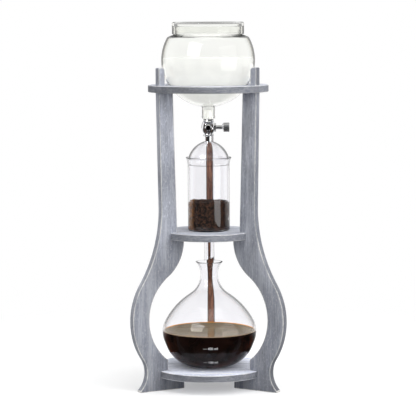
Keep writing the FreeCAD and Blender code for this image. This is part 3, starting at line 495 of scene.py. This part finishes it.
def glass(name, tint, edge, index):
    """Clear glass of a refractive index, edge-coloured where its wall is seen lengthwise."""
    material, tree, shader = new_material(
        name, Transmission_Weight=1.0, IOR=index, Metallic=0.0)
    facing = add(tree, "LayerWeight", {0: 0.5}).outputs["Facing"]
    normal = parts_of(tree, add(tree, "NewGeometry").outputs["Normal"])
    upright = between(tree, sum_up(tree, "ABSOLUTE", normal["Z"]), 0.9, 0.6)
    along = times(tree, between(tree, facing, 0.62, 0.93), upright)
    smudge = grouped(tree, "Smudge", {"Vector": object_place(tree), "Least": 0.0, "Most": 0.035})
    wire(tree, shader, Base_Color=blend(tree, along, opaque(tint), opaque(edge)),
         Roughness=smudge.outputs["Roughness"])
    bumped(tree, shader, smudge.outputs["Wave"], 0.0006, 0.35)
    return material


def enamel():
    """Fired white enamel, slightly chalky."""
    material, tree, shader = new_material("white_enamel", Specular_IOR_Level=0.4)
    grain = noise_of(tree, object_place(tree), 2500, 2, 0.6)
    wire(tree, shader, Roughness=between(tree, grain, 0.3, 0.7, 0.35, 0.6),
         Base_Color=blend(tree, grain, (0.8, 0.8, 0.79, 1), (0.96, 0.96, 0.95, 1)))
    bumped(tree, shader, grain, 0.00004, 0.5)
    return material


def iced_water():
    """Cloudy water: its glow stands for the light scattered in it."""
    material, tree, shader = new_material(
        "iced_water", Transmission_Weight=0.0, IOR=1.33, Metallic=0.0, Roughness=0.25,
        Emission_Color=(0.985, 0.99, 0.97, 1), Emission_Strength=0.6)
    cloud = noise_of(tree, object_place(tree), 45, 4, 0.55, 0.4)
    wire(tree, shader, Base_Color=blend(tree, between(tree, cloud, 0.35, 0.7),
                                        (0.235, 0.237, 0.235, 1), (0.285, 0.285, 0.28, 1)))
    bumped(tree, shader, cloud, 0.001, 0.25)
    return material


def ground_coffee():
    """Coarse grounds: dark granules, pale chaff, and a golden band of painted light down its left
    side.
    """
    material, tree, shader = new_material("ground_coffee", Specular_IOR_Level=0.12)
    place = object_place(tree)
    coarse, cells = (
        add(tree, "TexVoronoi", {"Vector": place, "Scale": scale, "Randomness": 1.0}).outputs
        for scale in (480.0, 950.0))
    tone = add(tree, "SeparateColor", {0: cells["Color"]}).outputs[0]
    clump = add(tree, "SeparateColor", {0: coarse["Color"]}).outputs[1]
    mixed = times(tree, tone, between(tree, clump, 0.2, 0.8, 0.25, 1.4))
    colour = blend(tree, between(tree, mixed, 0.1, 1.0), (0.002, 0.001, 0.001, 1),
                   (0.088, 0.038, 0.02, 1))
    chaff = between(tree, noise_of(tree, place, 700, 2, 0.7), 0.62, 0.70)
    colour = blend(tree, times(tree, chaff, 0.4), colour, (0.26, 0.14, 0.08, 1))
    # Painted light: a golden band down the left side, broken up by the clumps.
    painted_warm_light = times(tree, between(tree, parts_of(tree, place)["X"], -0.021, -0.0265),
                  between(tree, clump, 0.1, 0.7, 0.35, 0.9))
    wire(tree, shader, Base_Color=blend(tree, painted_warm_light, colour, (0.30, 0.125, 0.035, 1)),
         Roughness=between(tree, tone, 0, 1, 0.55, 0.85))
    grit = sum_up(tree, "ADD", cells["Distance"], coarse["Distance"])
    bumped(tree, shader, grit, 0.0014, 0.9)
    return material


def brewed_coffee():
    """Near-black coffee with painted light: a tan painted reflection on its surface, amber at its
    slanting sides, and an amber lip where it climbs the glass and runs thin.
    """
    material, tree, shader = new_material("brewed_coffee", IOR=1.35, Metallic=0.0,
                                          Specular_IOR_Level=0.15)
    place = object_place(tree)
    parts = parts_of(tree, place)
    swirl = noise_of(tree, place, 30, 3, 0.5, 1.5)
    body = blend(tree, between(tree, swirl, 0.3, 0.7), (0.003, 0.0014, 0.001, 1),
                 (0.008, 0.003, 0.002, 1))
    facing = add(tree, "LayerWeight", {0: 0.5}).outputs["Facing"]
    # Painted light: amber streaks where the side is seen at a slant, for light through thin
    # coffee.
    painted_slant_light = times(tree, between(tree, facing, 0.27, 0.8),
                   between(tree, swirl, 0.4, 0.62, 0.05, 1.0))
    body = blend(tree, painted_slant_light, body, (0.30, 0.058, 0.012, 1))
    level = PLATE_TOP + settings().glass.coffee_level
    surface = between(tree, parts["Z"], level - 0.0004, level - 0.0001)
    # Painted reflection: tan on the surface where it is seen at a slant.
    painted_slant_reflection = blend(tree, between(tree, facing, 0.55, 0.85), (0.022, 0.009, 0.004, 1),
                 (0.15, 0.112, 0.062, 1))
    body = blend(tree, surface, body, painted_slant_reflection)
    # Painted light on the thin lip: tan at the front, orange at the back.
    lip = blend(tree, between(tree, parts["Y"], 0.0, 0.03), (0.50, 0.38, 0.26, 1),
                (0.80, 0.33, 0.04, 1))
    wire(tree, shader, Base_Color=blend(tree, marked(tree, "thin"), body, lip),
         Roughness=between(tree, swirl, 0.3, 0.8, 0.02, 0.06))
    bumped(tree, shader, noise_of(tree, place, 18, 1, 0.4), 0.0005, 0.2)
    return material


def chrome():
    """Plated brass, with painted shade: near-black on the floor of the screw's socket, fading up
    its walls.
    """
    material, tree, shader = new_material("chrome", Metallic=1.0)
    painted_socket_shade = between(tree, marked(tree, "painted_socket_shade"), 0.0, 0.35)
    smudge = grouped(tree, "Smudge", {"Vector": object_place(tree), "Least": 0.04, "Most": 0.14})
    wire(tree, shader, Roughness=smudge.outputs["Roughness"],
         Base_Color=blend(tree, painted_socket_shade, opaque(settings().valve.chrome), (0.01, 0.01, 0.01, 1)))
    bumped(tree, shader, smudge.outputs["Wave"], 0.0002, 0.2)
    return material


def mottled(tree, pattern, colour, darker):
    """A colour and a darker tone of it, by a noise pattern."""
    return blend(tree, between(tree, pattern, 0.3, 0.7), opaque([c * darker for c in colour]),
                 opaque(colour))


def brushed(name, colour, along, roughness):
    """Turned or rolled steel; along stretches the lay of the marks."""
    material, tree, shader = new_material(name, Metallic=1.0)
    marks = noise_of(tree, stretched(tree, object_place(tree), along), 1800, 3, 0.6)
    wire(tree, shader, Base_Color=mottled(tree, marks, colour, 0.85),
         Roughness=between(tree, marks, 0.3, 0.7, roughness * 0.8, roughness * 1.25))
    bumped(tree, shader, marks, 0.00008, 0.5)
    return material


def soft_rubber(name, colour, roughness, transmission=0.0, glow=0.0):
    """Rubber or silicone; a clear one may glow for the light scattered in it."""
    material, tree, shader = new_material(
        name, Transmission_Weight=transmission, Metallic=0.0, IOR=1.41,
        Emission_Color=(1.0, 1.0, 0.98, 1), Emission_Strength=glow)
    skin = noise_of(tree, object_place(tree), 1500, 3, 0.6)
    wire(tree, shader, Base_Color=mottled(tree, skin, colour, 0.9),
         Roughness=between(tree, skin, 0.3, 0.7, roughness * 0.9, roughness * 1.1))
    bumped(tree, shader, skin, 0.00006, 0.5)
    return material


# ---------------------------------------------------------------- timber

LEG = [
    (48.8, 0), (126.8, 0), (126.8, 2.23), (120.76, 51.58, -38.64), (121.44, 170.75, 110.2),
    (87.2, 288.6, -219.91), (90.6, 470.09), (90.6, 507.39), (89.1, 508.89, 1.5),
    (84.5, 508.89), (80, 504.39, 4.5), (80, 470.09), (66, 470.09), (59.8, 249.6),
    (66, 249.6), (66, 238.6), (47.9, 238.6), (47.9, 237.4), (76.57, 180.2, 71.4),
    (77.5, 47.91, -83.0), (77.5, 31.3), (83.5, 31.3), (83.5, 20.3), (48.8, 20.3),
]
BOARD = 12                                  # thickness of a leg
CHAR = 3.4                                  # from a leg's middle plane to its burnt edges


def leg_board(azimuth):
    """One leg: the outline sawn from a board, its arrises rounded and marked as worn."""
    bm = bmesh.new()
    trace(bm, LEG)
    sheet = bmesh.ops.contextual_create(bm, geom=bm.edges[:])["faces"]
    bmesh.ops.translate(bm, verts=bm.verts[:], vec=(0, -BOARD / 2 * MM, 0))
    block = bmesh.ops.extrude_face_region(bm, geom=sheet, use_keep_orig=True)["geom"]
    far = [v for v in block if isinstance(v, bmesh.types.BMVert)]
    bmesh.ops.translate(bm, verts=far, vec=(0, BOARD * MM, 0))
    bmesh.ops.recalc_face_normals(bm, faces=bm.faces[:])
    arris, stain, outer = (
        bm.faces.layers.float.new(name) for name in ("arris", "stain", "outer"))
    for face in soften(bm, settings().timber.arris):
        face[arris] = 1.0
    bm.normal_update()
    # Inner edges above the plate are marked as stained, and outward edges as outer, which carries
    # the right leg's painted shade.
    for face in bm.faces:
        along = face.normal.x if abs(face.normal.y) < 0.8 else 0
        if along < -0.35 and face.calc_center_median().z > PLATE_TOP:
            face[stain] = 1.0
        elif along > 0.35:
            face[outer] = 1.0
    for side in (-CHAR, CHAR):
        sliced(bm, (0, side * MM, 0), (0, 1, 0))
    burn = bm.verts.layers.float.new("burn")
    for v in bm.verts:
        v[burn] = float(abs(v.co.y) > (CHAR + 0.1) * MM)
    turn = Matrix.Rotation(math.radians(azimuth), 4, "Z")
    bmesh.ops.transform(bm, matrix=turn, verts=bm.verts[:])
    return bm


class TOWER_OT_legs(bpy.types.Operator):
    """Saws the three bowed legs"""
    bl_idname = "drip_tower.legs"
    bl_label = "Bowed Legs"

    def execute(self, context):
        material = leg_timber()
        for side, azimuth in LEG_AZIMUTHS.items():
            piece(leg_board(azimuth), "board_" + side, "frame", material,
                  ["leg_" + side], crease=28)
        return {"FINISHED"}


# Each turned disc: its radius, the painted shade of its rim and the painted light of its faces,
# and its bore if it is worn.
DISCS = {
    "top_ring": (95.3, 0.56, 1.1, 62.93),
    "middle_shelf": (71.5, 0.58, 1.15),
    "bottom_plate": (90.8, 0.44, 1.85),
}


class TOWER_OT_discs(bpy.types.Operator):
    """Finishes the ring, the shelf and the plate"""
    bl_idname = "drip_tower.discs"
    bl_label = "Ring, Shelf and Plate"

    def execute(self, context):
        for node, finish in DISCS.items():
            dress(node, disc_timber(node, *finish))
        return {"FINISHED"}


class TOWER_OT_fasteners(bpy.types.Operator):
    """Finishes the dowels and the foot screws"""
    bl_idname = "drip_tower.fasteners"
    bl_label = "Dowels and Screws"

    def execute(self, context):
        dress("dowels", beech())
        dress("foot_screws", brushed("zinc", (0.66, 0.66, 0.63), (1, 1, 1), 0.35))
        return {"FINISHED"}


# ---------------------------------------------------------------- glass and contents

GLOBE = [
    (8, -91.29), (10.9, -91.29), (10.9, -88.69), (10.2, -87.99), (10.2, -73.29),
    (64.26, 36.7, 74), (52, 41.7), (52, GLOBE_RISE), (49.5, GLOBE_RISE), (49.5, 39.28),
    (62.09, 35.46), (8, -71.05, -71.5),
]
GLOBE_ROUNDINGS = [(0, 0.5), (1, 0.7), (2, 0.4), (3, 0.4), (4, 1.6), (5, 1.3), (6, 2.2),
                   (7, 1.0), (8, 1.0), (9, 1.5), (10, 1.2), (11, 1.2)]
GLOBE_LID = [
    (0, 3.8), (48.5, 3.8), (48.5, 0), (54.2, 0), (54.2, -12.3), (56.8, -12.3),
    (56.8, 6.9), (0, 6.9),
]
LID_ROUNDINGS = [(1, 0.8), (2, 0.6), (3, 0.8), (4, 0.9), (5, 0.9), (6, 2.5)]
CHAMBER = [
    (5.6, -49), (7.8, -49), (7.8, 0), (30.4, 0), (33.4, 3, 3), (33.4, 104.9),
    (36.6, 116.8, -23.73), (34.09, 116.8), (31.9, 105.2, 30), (31.2, 104.5), (31.2, 2.5),
    (5.6, 2.5),
]
CHAMBER_ROUNDINGS = [(2, 1.2), (6, 1.1), (7, 1.1), (10, 1.2), (11, 1.0)]
DOME = [(30.31, -2.5), (32.51, -2.5), (6.9, 24.9, 36.7), (6.9, 22.7), (30.31, -2.5, -34.5)]
DOME_ROUNDINGS = [(0, 0.7), (1, 0.7), (2, 0.7), (3, 0.7)]
CARAFE = [
    (0, 0), (29.53, 0), (68.23, 31.41, 51.5), (72, 40.72), (75.2, 57.2, 44),
    (71.34, 72.69, 33), (30.78, 116.67, 118), (13.8, 147.7, -36.85), (22, 168.2, -29.73),
    (19.05, 168.2), (11.6, 147.7, 31.93), (29.59, 114.82, 39.05), (69.39, 71.66, -115.8),
    (73, 57.2, -30.8), (69.96, 41.54, -41.8), (66.19, 32.23), (29.33, 2.2, -49.3), (0, 2.2),
]
CARAFE_ROUNDINGS = [(8, 1.0), (9, 1.0)]
TUBE_TIP = -48.1                            # the longest point of the drip tube, at its left
TUBE_RADIUS = 7.8
TUBE_BEVEL = 4.9, 0, -15.6                  # the way that the tube's slanted end faces

# Refractive indices, and the colours of walls seen lengthwise.
GLOBE_INDEX, LID_INDEX, CHAMBER_INDEX, CARAFE_INDEX = 1.24, 1.1, 1.4, 1.24
GLOBE_EDGE, CHAMBER_EDGE, CARAFE_EDGE = (0.9, 0.865, 0.77), (0.09,) * 3, (0.42,) * 3

GRADUATIONS = {400: 37.6, 100: 13.2}        # millilitres: height above the plate
PRINT_START, PRINT_WIDTH = -8.5, 23         # along the wall, from the front to the right
PRINT_LIFT, PRINT_SKIN = 0.02, 0.05         # the enamel's middle off the wall; half of it
OUTSIDE = 0.2                               # metres from the axis, clear of every wall


class TOWER_OT_globe(bpy.types.Operator):
    """Blows the water globe and its lid"""
    bl_idname = "drip_tower.globe"
    bl_label = "Water Globe"

    def execute(self, context):
        tint = settings().glass.globe_tint
        piece(lathed(GLOBE, GLOBE_CENTRE, GLOBE_ROUNDINGS), "blown_globe", "reservoir",
              glass("globe_glass", tint, GLOBE_EDGE, GLOBE_INDEX),
              ["water_globe"])
        piece(lathed(GLOBE_LID, CAP_SEAT, LID_ROUNDINGS), "blown_lid", "cap",
              glass("lid_glass", tint, GLOBE_EDGE, LID_INDEX), ["globe_lid"])
        return {"FINISHED"}


class TOWER_OT_chamber(bpy.types.Operator):
    """Blows the brewing chamber with its drip tube, and the dome"""
    bl_idname = "drip_tower.chamber"
    bl_label = "Brewing Chamber"

    def execute(self, context):
        material = glass("clear_glass", settings().glass.tint, CHAMBER_EDGE, CHAMBER_INDEX)
        bm = lathed(CHAMBER, SHELF_TOP, CHAMBER_ROUNDINGS, 112)
        tip = Vector((-TUBE_RADIUS * MM, 0, SHELF_TOP + TUBE_TIP * MM))
        open_edges = sliced(bm, tip, Vector(TUBE_BEVEL).normalized(), drop_outer=True)
        bmesh.ops.bridge_loops(bm, edges=open_edges)
        bmesh.ops.recalc_face_normals(bm, faces=bm.faces[:])
        piece(bm, "blown_chamber", "chamber", material, ["brew_chamber"])
        piece(lathed(DOME, CHAMBER_RIM, DOME_ROUNDINGS, 112), "blown_dome", "dome",
              material, ["dome_lid"])
        return {"FINISHED"}


class TOWER_OT_carafe(bpy.types.Operator):
    """Blows the waisted carafe"""
    bl_idname = "drip_tower.carafe"
    bl_label = "Carafe"

    def execute(self, context):
        material = glass("carafe_glass", settings().glass.tint, CARAFE_EDGE, CARAFE_INDEX)
        wall = lathed(CARAFE, PLATE_TOP, CARAFE_ROUNDINGS)
        white = enamel()
        for amount, height in GRADUATIONS.items():
            piece(printed("\u2014 %d ml" % amount, PLATE_TOP + height * MM, wall),
                  "graduation_%d" % amount, "carafe_body", white)
        piece(wall, "blown_carafe", "carafe_body", material, ["carafe"])
        return {"FINISHED"}


def lettered(words):
    """Words as a flat, slightly raised mesh."""
    curve = bpy.data.curves.new("words", "FONT")
    curve.body, curve.size, curve.extrude = words, 1.0, 0.02
    draft = bpy.data.objects.new("words", curve)
    bpy.context.scene.collection.objects.link(draft)
    flat = bpy.data.meshes.new_from_object(
        draft.evaluated_get(bpy.context.evaluated_depsgraph_get()))
    bpy.data.objects.remove(draft)
    bpy.data.curves.remove(curve)
    bm = bmesh.new()
    bm.from_mesh(flat)
    bpy.data.meshes.remove(flat)
    bmesh.ops.remove_doubles(bm, verts=bm.verts[:], dist=1e-5)
    return bm


def printed(words, height, glass_wall):
    """Words enamelled on a blown wall; their foot is at height, in metres."""
    bm = lettered(words)
    start, width = PRINT_START * MM, PRINT_WIDTH * MM
    left, right = (reach(v.co.x for v in bm.verts) for reach in (min, max))
    scale = width / (right - left)
    for v in bm.verts:
        v.co = Vector((start + (v.co.x - left) * scale, v.co.y * scale, v.co.z))
    for n in range(1, int(width / MM)):
        sliced(bm, (start + n * MM, 0, 0), (1, 0, 0))
    wall = BVHTree.FromBMesh(glass_wall)
    for v in bm.verts:
        z = height + v.co.y
        front = wall.ray_cast(Vector((0, -OUTSIDE, z)), Vector((0, 1, 0)))[0]
        turn = v.co.x / front.y
        way = Vector((-math.sin(turn), -math.cos(turn), 0))
        spot = wall.ray_cast(way * OUTSIDE + Vector((0, 0, z)), -way)[0]
        v.co = spot + way * (PRINT_LIFT + math.copysign(PRINT_SKIN, v.co.z)) * MM
    bmesh.ops.recalc_face_normals(bm, faces=bm.faces[:])
    return bm


# A liquid's lip, from the glass inwards: the step's width, its part of the lip's height, and how
# thin the liquid is at its end.
MENISCUS = ((0.35, 0.35, 1.0), (0.6, 0.35, 0.55), (1.2, 0.25, 0.0))
WATER = [(0, -77.8), (7.6, -77.8), (7.6, -71.05), (62.0, 35.3, 71.4)]
WATER_LIP = 0.8
COFFEE = [(0, 2.1), (29.36, 2.1), (66.27, 32.17, 49.4), (70.05, 41.5), (73.1, 57.2, 41.9),
          (69.49, 71.73, 30.9)]
COFFEE_LIP = 1.0


def poured(hollow, level, lip, height):
    """Turns a hollow into its contents: cut at level, with a lip that climbs the glass."""
    bm = spun(hollow)
    rim = sliced(bm, (0, 0, level + lip), (0, 0, 1), drop_outer=True)
    thin = bm.verts.layers.float.new("thin")
    top = bmesh.ops.contextual_create(bm, geom=rim)["faces"]
    whole = sum(part for _, part, _ in MENISCUS)
    for inset, part, value in MENISCUS:
        bmesh.ops.inset_region(bm, faces=top, thickness=inset * MM, use_even_offset=True,
                               use_boundary=True)
        for v in top[0].verts:
            v.co.z -= part * lip / whole
            v[thin] = value
    for edge in rim:
        for v in edge.verts:
            v[thin] = 1.0
    bmesh.ops.recalc_face_normals(bm, faces=bm.faces[:])
    bmesh.ops.translate(bm, verts=bm.verts[:], vec=(0, 0, height))
    return bm


class TOWER_OT_water(bpy.types.Operator):
    """Fills the globe with iced water"""
    bl_idname = "drip_tower.water"
    bl_label = "Iced Water"

    def execute(self, context):
        bm = poured(WATER, settings().glass.water_level, WATER_LIP * MM, GLOBE_CENTRE)
        piece(bm, "iced_water", "reservoir", iced_water())
        return {"FINISHED"}


class TOWER_OT_coffee(bpy.types.Operator):
    """Pours the brewed coffee into the carafe"""
    bl_idname = "drip_tower.coffee"
    bl_label = "Brewed Coffee"

    def execute(self, context):
        bm = poured(COFFEE, settings().glass.coffee_level, COFFEE_LIP * MM, PLATE_TOP)
        piece(bm, "brewed_coffee", "carafe_body", brewed_coffee())
        return {"FINISHED"}


BED_FOOT = [(0, 0), (30.93, 0), (30.93, -2.9), (31.3, -2.9), (31.3, 0)]
BED_WALL, BED_TOP = 31.4, 30.2              # radii of the bed's side and of its top
FILTER_TOP = 5.5                            # above the shelf


class TOWER_OT_grounds(bpy.types.Operator):
    """Heaps the ground coffee on the filter"""
    bl_idname = "drip_tower.grounds"
    bl_label = "Coffee Bed"

    def execute(self, context):
        height = settings().glass.bed_height / MM
        base = SHELF_TOP + FILTER_TOP * MM
        side = [(BED_WALL, 1 + (height - 2) * n / 16) for n in range(1, 17)]
        top = [(BED_TOP - 2.5 * n, height) for n in range(12)]
        bm = lathed([*BED_FOOT, *side, *top, (0, height)], base, steps=120)
        # The top heaps up in lumps, and the side's grains leave gaps at the glass.
        for v in bm.verts:
            radius = math.hypot(v.co.x, v.co.y)
            if v.co.z > base + (height - 0.5) * MM:
                swell = noise.fractal(v.co * 60, 1.0, 2.0, 3) * 2.2 * MM
                v.co.z += swell + noise.noise(v.co * 700) * 0.7 * MM
            if radius > 29 * MM and v.co.z > base + 0.5 * MM:
                pull = 1 - abs(noise.noise(v.co * 520)) * 0.016
                v.co.x *= pull
                v.co.y *= pull
        piece(bm, "coffee_bed", "chamber", ground_coffee(), crease=80)
        return {"FINISHED"}


# ---------------------------------------------------------------- valve and filter

SCREW = [(0, 6.4), (4.2, 6.4), (4.2, 12.9), (5.6, 12.9), (5.6, 13.2), (3.9, 15.1), (0, 15.1)]
SOCKET = 3.0                                # the hexagon's flats from its middle
SOCKET_DEPTH = 3.2


def round_off(node, width):
    """Rounds a CAD node's turned edges."""
    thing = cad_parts[node]
    thing.modifiers.new("weld", "WELD").merge_threshold = 1e-6
    bevel = thing.modifiers.new("bevel", "BEVEL")
    bevel.width, bevel.segments = width, 3
    bevel.limit_method, bevel.angle_limit = "ANGLE", math.radians(40)


def socket_screw():
    """The valve's front screw: a coned head with a sunken hexagon socket, its floor marked for
    painted shade.
    """
    bm = lathed(SCREW, steps=48)
    bmesh.ops.dissolve_limit(bm, angle_limit=math.radians(1), verts=bm.verts[:],
                             edges=bm.edges[:])
    painted_socket_shade = bm.verts.layers.float.new("painted_socket_shade")
    face = max(bm.faces, key=lambda f: f.calc_center_median().z)
    bmesh.ops.inset_region(bm, faces=[face], thickness=0.2 * MM)
    for v in face.verts:
        turn = math.atan2(v.co.y, v.co.x) % math.radians(60) - math.radians(30)
        reach = SOCKET * MM / math.cos(turn) / math.hypot(v.co.x, v.co.y)
        v.co.x *= reach
        v.co.y *= reach
    floor = bmesh.ops.extrude_discrete_faces(bm, faces=[face])["faces"][0]
    # The socket's floor is sunk and marked for painted shade.
    for v in floor.verts:
        v.co.z -= SOCKET_DEPTH * MM
        v[painted_socket_shade] = 1.0
    bmesh.ops.recalc_face_normals(bm, faces=bm.faces[:])
    forwards = Matrix.Rotation(math.radians(90), 4, "X")
    bmesh.ops.transform(bm, matrix=Matrix.Translation((0, 0, VALVE_CENTRE)) @ forwards,
                        verts=bm.verts[:])
    return bm


class TOWER_OT_valve(bpy.types.Operator):
    """Finishes the needle valve, its stopper and its washers"""
    bl_idname = "drip_tower.valve"
    bl_label = "Needle Valve"

    def execute(self, context):
        plated = chrome()
        for node in ("valve_body", "packing_nut", "valve_knob", "valve_nozzle"):
            dress(node, plated)
            round_off(node, settings().valve.edge)
        piece(socket_screw(), "socket_screw", "reservoir", plated, ["valve_plug"])
        dress("valve_needle", brushed("turned_steel", (0.8, 0.8, 0.81), (0.05, 1, 1), 0.18))
        dress("knob_set_screw", brushed("grub_steel", (0.5, 0.5, 0.5), (1, 1, 1), 0.3))
        rubber = soft_rubber("black_rubber", (0.025, 0.025, 0.027), 0.6)
        for node in ("plug_seal", "stem_packing", "collar_washer"):
            dress(node, rubber)
        dress("outlet_stopper", soft_rubber("silicone", (0.98, 0.98, 0.96), 0.4, 0.6, 0.17))
        return {"FINISHED"}


class TOWER_OT_filter(bpy.types.Operator):
    """Finishes the filter under the coffee"""
    bl_idname = "drip_tower.filter"
    bl_label = "Filter"

    def execute(self, context):
        dress("filter_ring", soft_rubber("filter_silicone", (0.86, 0.86, 0.84), 0.45, 0.2))
        dress("filter_disc", brushed("filter_steel", (0.66, 0.66, 0.66), (0.05, 1, 1), 0.3))
        return {"FINISHED"}


# ---------------------------------------------------------------- studio

WHITE = (1, 1, 1, 1)


def softbox(name, azimuth, elevation, distance, wide, tall, watts, aim=0.3):
    """An area lamp aimed at a height; azimuth 0 is at the front, and it goes to the right."""
    lamp = bpy.data.lights.new(name, "AREA")
    lamp.shape = "RECTANGLE"
    lamp.size, lamp.size_y, lamp.energy = wide, tall, watts
    thing = bpy.data.objects.new(name, lamp)
    bpy.context.scene.collection.objects.link(thing)
    turn, rise = math.radians(azimuth), math.radians(elevation)
    way = Vector((math.sin(turn) * math.cos(rise), -math.cos(turn) * math.cos(rise),
                  math.sin(rise)))
    thing.location = Vector((0, 0, aim)) + way * distance
    thing.rotation_euler = (-way).to_track_quat("-Z", "Y").to_euler()
    return thing


def sightlines(tree):
    """1 for rays that see the studio, and 1 for those among them that a surface mirrored."""
    rays = add(tree, "LightPath")
    seen = sum_up(tree, "MAXIMUM", rays.outputs["Is Camera Ray"],
                  sum_up(tree, "MAXIMUM", rays.outputs["Is Glossy Ray"],
                         rays.outputs["Is Transmission Ray"]))
    mirrored = sum_up(tree, "MINIMUM", rays.outputs["Glossy Depth"], 1.0)
    return seen, times(tree, seen, mirrored)


def build_world():
    """A pale room, darker in front and far behind for the rays that a surface mirrored."""
    world = bpy.data.worlds.new("studio_room")
    bpy.context.scene.world = world
    world.use_nodes = True
    tree = world.node_tree
    tree.nodes.clear()
    seen, mirrored = sightlines(tree)
    way = parts_of(tree, add(tree, "TexCoord").outputs["Generated"])
    behind = times(tree, between(tree, way["Y"], -0.15, 0.2, 0.03, 1.0),
                   between(tree, way["Y"], 0.5, 0.85, 1.0, 0.35))
    behind = sum_up(tree, "MAXIMUM", behind, between(tree, way["Z"], 0.35, 0.6, 0.0, 0.9))
    overhead = between(tree, way["Z"], -0.1, 0.9, 0.75, 1.2)
    lighting = times(tree, overhead, settings().studio.sky)
    shown = add(tree, "Mix", {0: mirrored, 2: 1.0, 3: behind}).outputs[0]
    level = add(tree, "Mix", {0: seen, 2: lighting, 3: shown}).outputs[0]
    light = add(tree, "Background", {"Color": WHITE, "Strength": level})
    wire(tree, add(tree, "OutputWorld"), Surface=light.outputs[0])


def glow(tree, strength):
    """A white emission."""
    return add(tree, "Emission", {"Color": WHITE, "Strength": strength}).outputs[0]


def build_floor():
    """A pale floor, white away from the tower and dark in front for mirrored rays."""
    bm = bmesh.new()
    bmesh.ops.create_circle(bm, cap_ends=True, segments=96, radius=8.0)
    mesh = bpy.data.meshes.new("floor")
    bm.to_mesh(mesh)
    bm.free()
    floor = bpy.data.objects.new("floor", mesh)
    bpy.context.scene.collection.objects.link(floor)
    material, tree, shader = new_material("pale_floor", Base_Color=(0.6, 0.6, 0.6, 1),
                                          Roughness=0.9, Specular_IOR_Level=0.0)
    mesh.materials.append(material)
    place = object_place(tree)
    seen, mirrored = sightlines(tree)
    lift = glow(tree, times(tree, seen, 0.35))
    near = add(tree, "AddShader", {0: shader.outputs[0], 1: lift}).outputs[0]
    reach = add(tree, "VectorMath", {0: place}, operation="LENGTH").outputs["Value"]
    mixed = add(tree, "MixShader", {0: between(tree, reach, 0.25, 0.8), 1: near,
                                    2: glow(tree, seen)}).outputs[0]
    front = times(tree, mirrored, between(tree, parts_of(tree, place)["Y"], 0.6, 0.1))
    whole = add(tree, "MixShader", {0: front, 1: mixed, 2: glow(tree, 0.04)}).outputs[0]
    wire(tree, tree.nodes["Material Output"], Surface=whole)


SENSOR = 36.0
SHIFT, RENDER_WIDTH = -0.85, 416            # the lens's axis off the middle, in pixels
CAMERA_AZIMUTH = 271.46                     # degrees round the tower; the front is at 270
CAMERA_YAW, CAMERA_DOWN, CAMERA_ROLL = 1.46, 5.77, -0.29


def build_camera():
    """The camera in front of the tower, a little above its middle."""
    studio = settings().studio
    lens = bpy.data.cameras.new("camera")
    camera = bpy.data.objects.new("camera", lens)
    bpy.context.scene.collection.objects.link(camera)
    bpy.context.scene.camera = camera
    lens.lens, lens.sensor_width, lens.sensor_fit = studio.lens, SENSOR, "HORIZONTAL"
    lens.shift_x = SHIFT / RENDER_WIDTH
    side = math.radians(CAMERA_AZIMUTH)
    camera.location = (studio.distance * math.cos(side), studio.distance * math.sin(side),
                       studio.height)
    yaw, pitch, roll = (
        Matrix.Rotation(math.radians(angle), 4, axis)
        for angle, axis in ((CAMERA_YAW, "Z"), (90 - CAMERA_DOWN, "X"), (CAMERA_ROLL, "Z")))
    camera.rotation_euler = (yaw @ pitch @ roll).to_euler()


class TOWER_OT_studio(bpy.types.Operator):
    """Sets up the floor, the lamps and the camera"""
    bl_idname = "drip_tower.studio"
    bl_label = "Studio"

    def execute(self, context):
        build_world()
        build_floor()
        build_camera()
        # The key only lights; the two cards only show, as glints on glass and metal.
        key = softbox("softbox_key", 56, 19, 1.35, 1.1, 0.85, 10, aim=0.42)
        key.visible_glossy = False
        softbox("softbox_top", 20, 80, 2.0, 1.8, 1.8, 20)
        for card in (softbox("window_left", -35, 31, 2.1, 1.15, 1.15, 75),
                     softbox("card_right", 53, 3, 1.2, 0.92, 0.5, 7, aim=0.2)):
            card.visible_diffuse = False
            card.visible_transmission = False
        return {"FINISHED"}


# ---------------------------------------------------------------- add-on

class TOWER_PT_panel(bpy.types.Panel):
    """Lists the settings and the pieces in the order they are built"""
    bl_idname = "TOWER_PT_panel"
    bl_label = "Cold Drip Tower"
    bl_space_type = "VIEW_3D"
    bl_region_type = "UI"
    bl_category = "Drip Tower"

    def draw(self, context):
        tower = context.scene.drip_tower
        for group in (tower.timber, tower.glass, tower.valve, tower.studio):
            box = self.layout.box()
            for name in group.__annotations__:
                box.prop(group, name)
        for operator in OPERATORS:
            self.layout.operator(operator.bl_idname)


SETTINGS = (TimberSettings, GlassSettings, ValveSettings, StudioSettings, TowerSettings)
OPERATORS = (TOWER_OT_legs, TOWER_OT_discs, TOWER_OT_fasteners, TOWER_OT_globe,
             TOWER_OT_chamber, TOWER_OT_carafe, TOWER_OT_water, TOWER_OT_coffee,
             TOWER_OT_grounds, TOWER_OT_valve, TOWER_OT_filter, TOWER_OT_studio)


def register():
    for cls in (*SETTINGS, *OPERATORS, TOWER_PT_panel):
        bpy.utils.register_class(cls)
    bpy.types.Scene.drip_tower = PointerProperty(type=TowerSettings)


def unregister():
    del bpy.types.Scene.drip_tower
    for cls in reversed((*SETTINGS, *OPERATORS, TOWER_PT_panel)):
        bpy.utils.unregister_class(cls)


def main():
    """Builds every piece in order."""
    register()
    bpy.context.scene.view_settings.view_transform = "Standard"
    build_wash_group()
    build_smudge_group()
    build_rim_group()
    for operator in OPERATORS:
        group, name = operator.bl_idname.split(".")
        getattr(getattr(bpy.ops, group), name)()


if __name__ == "__main__":
    main()
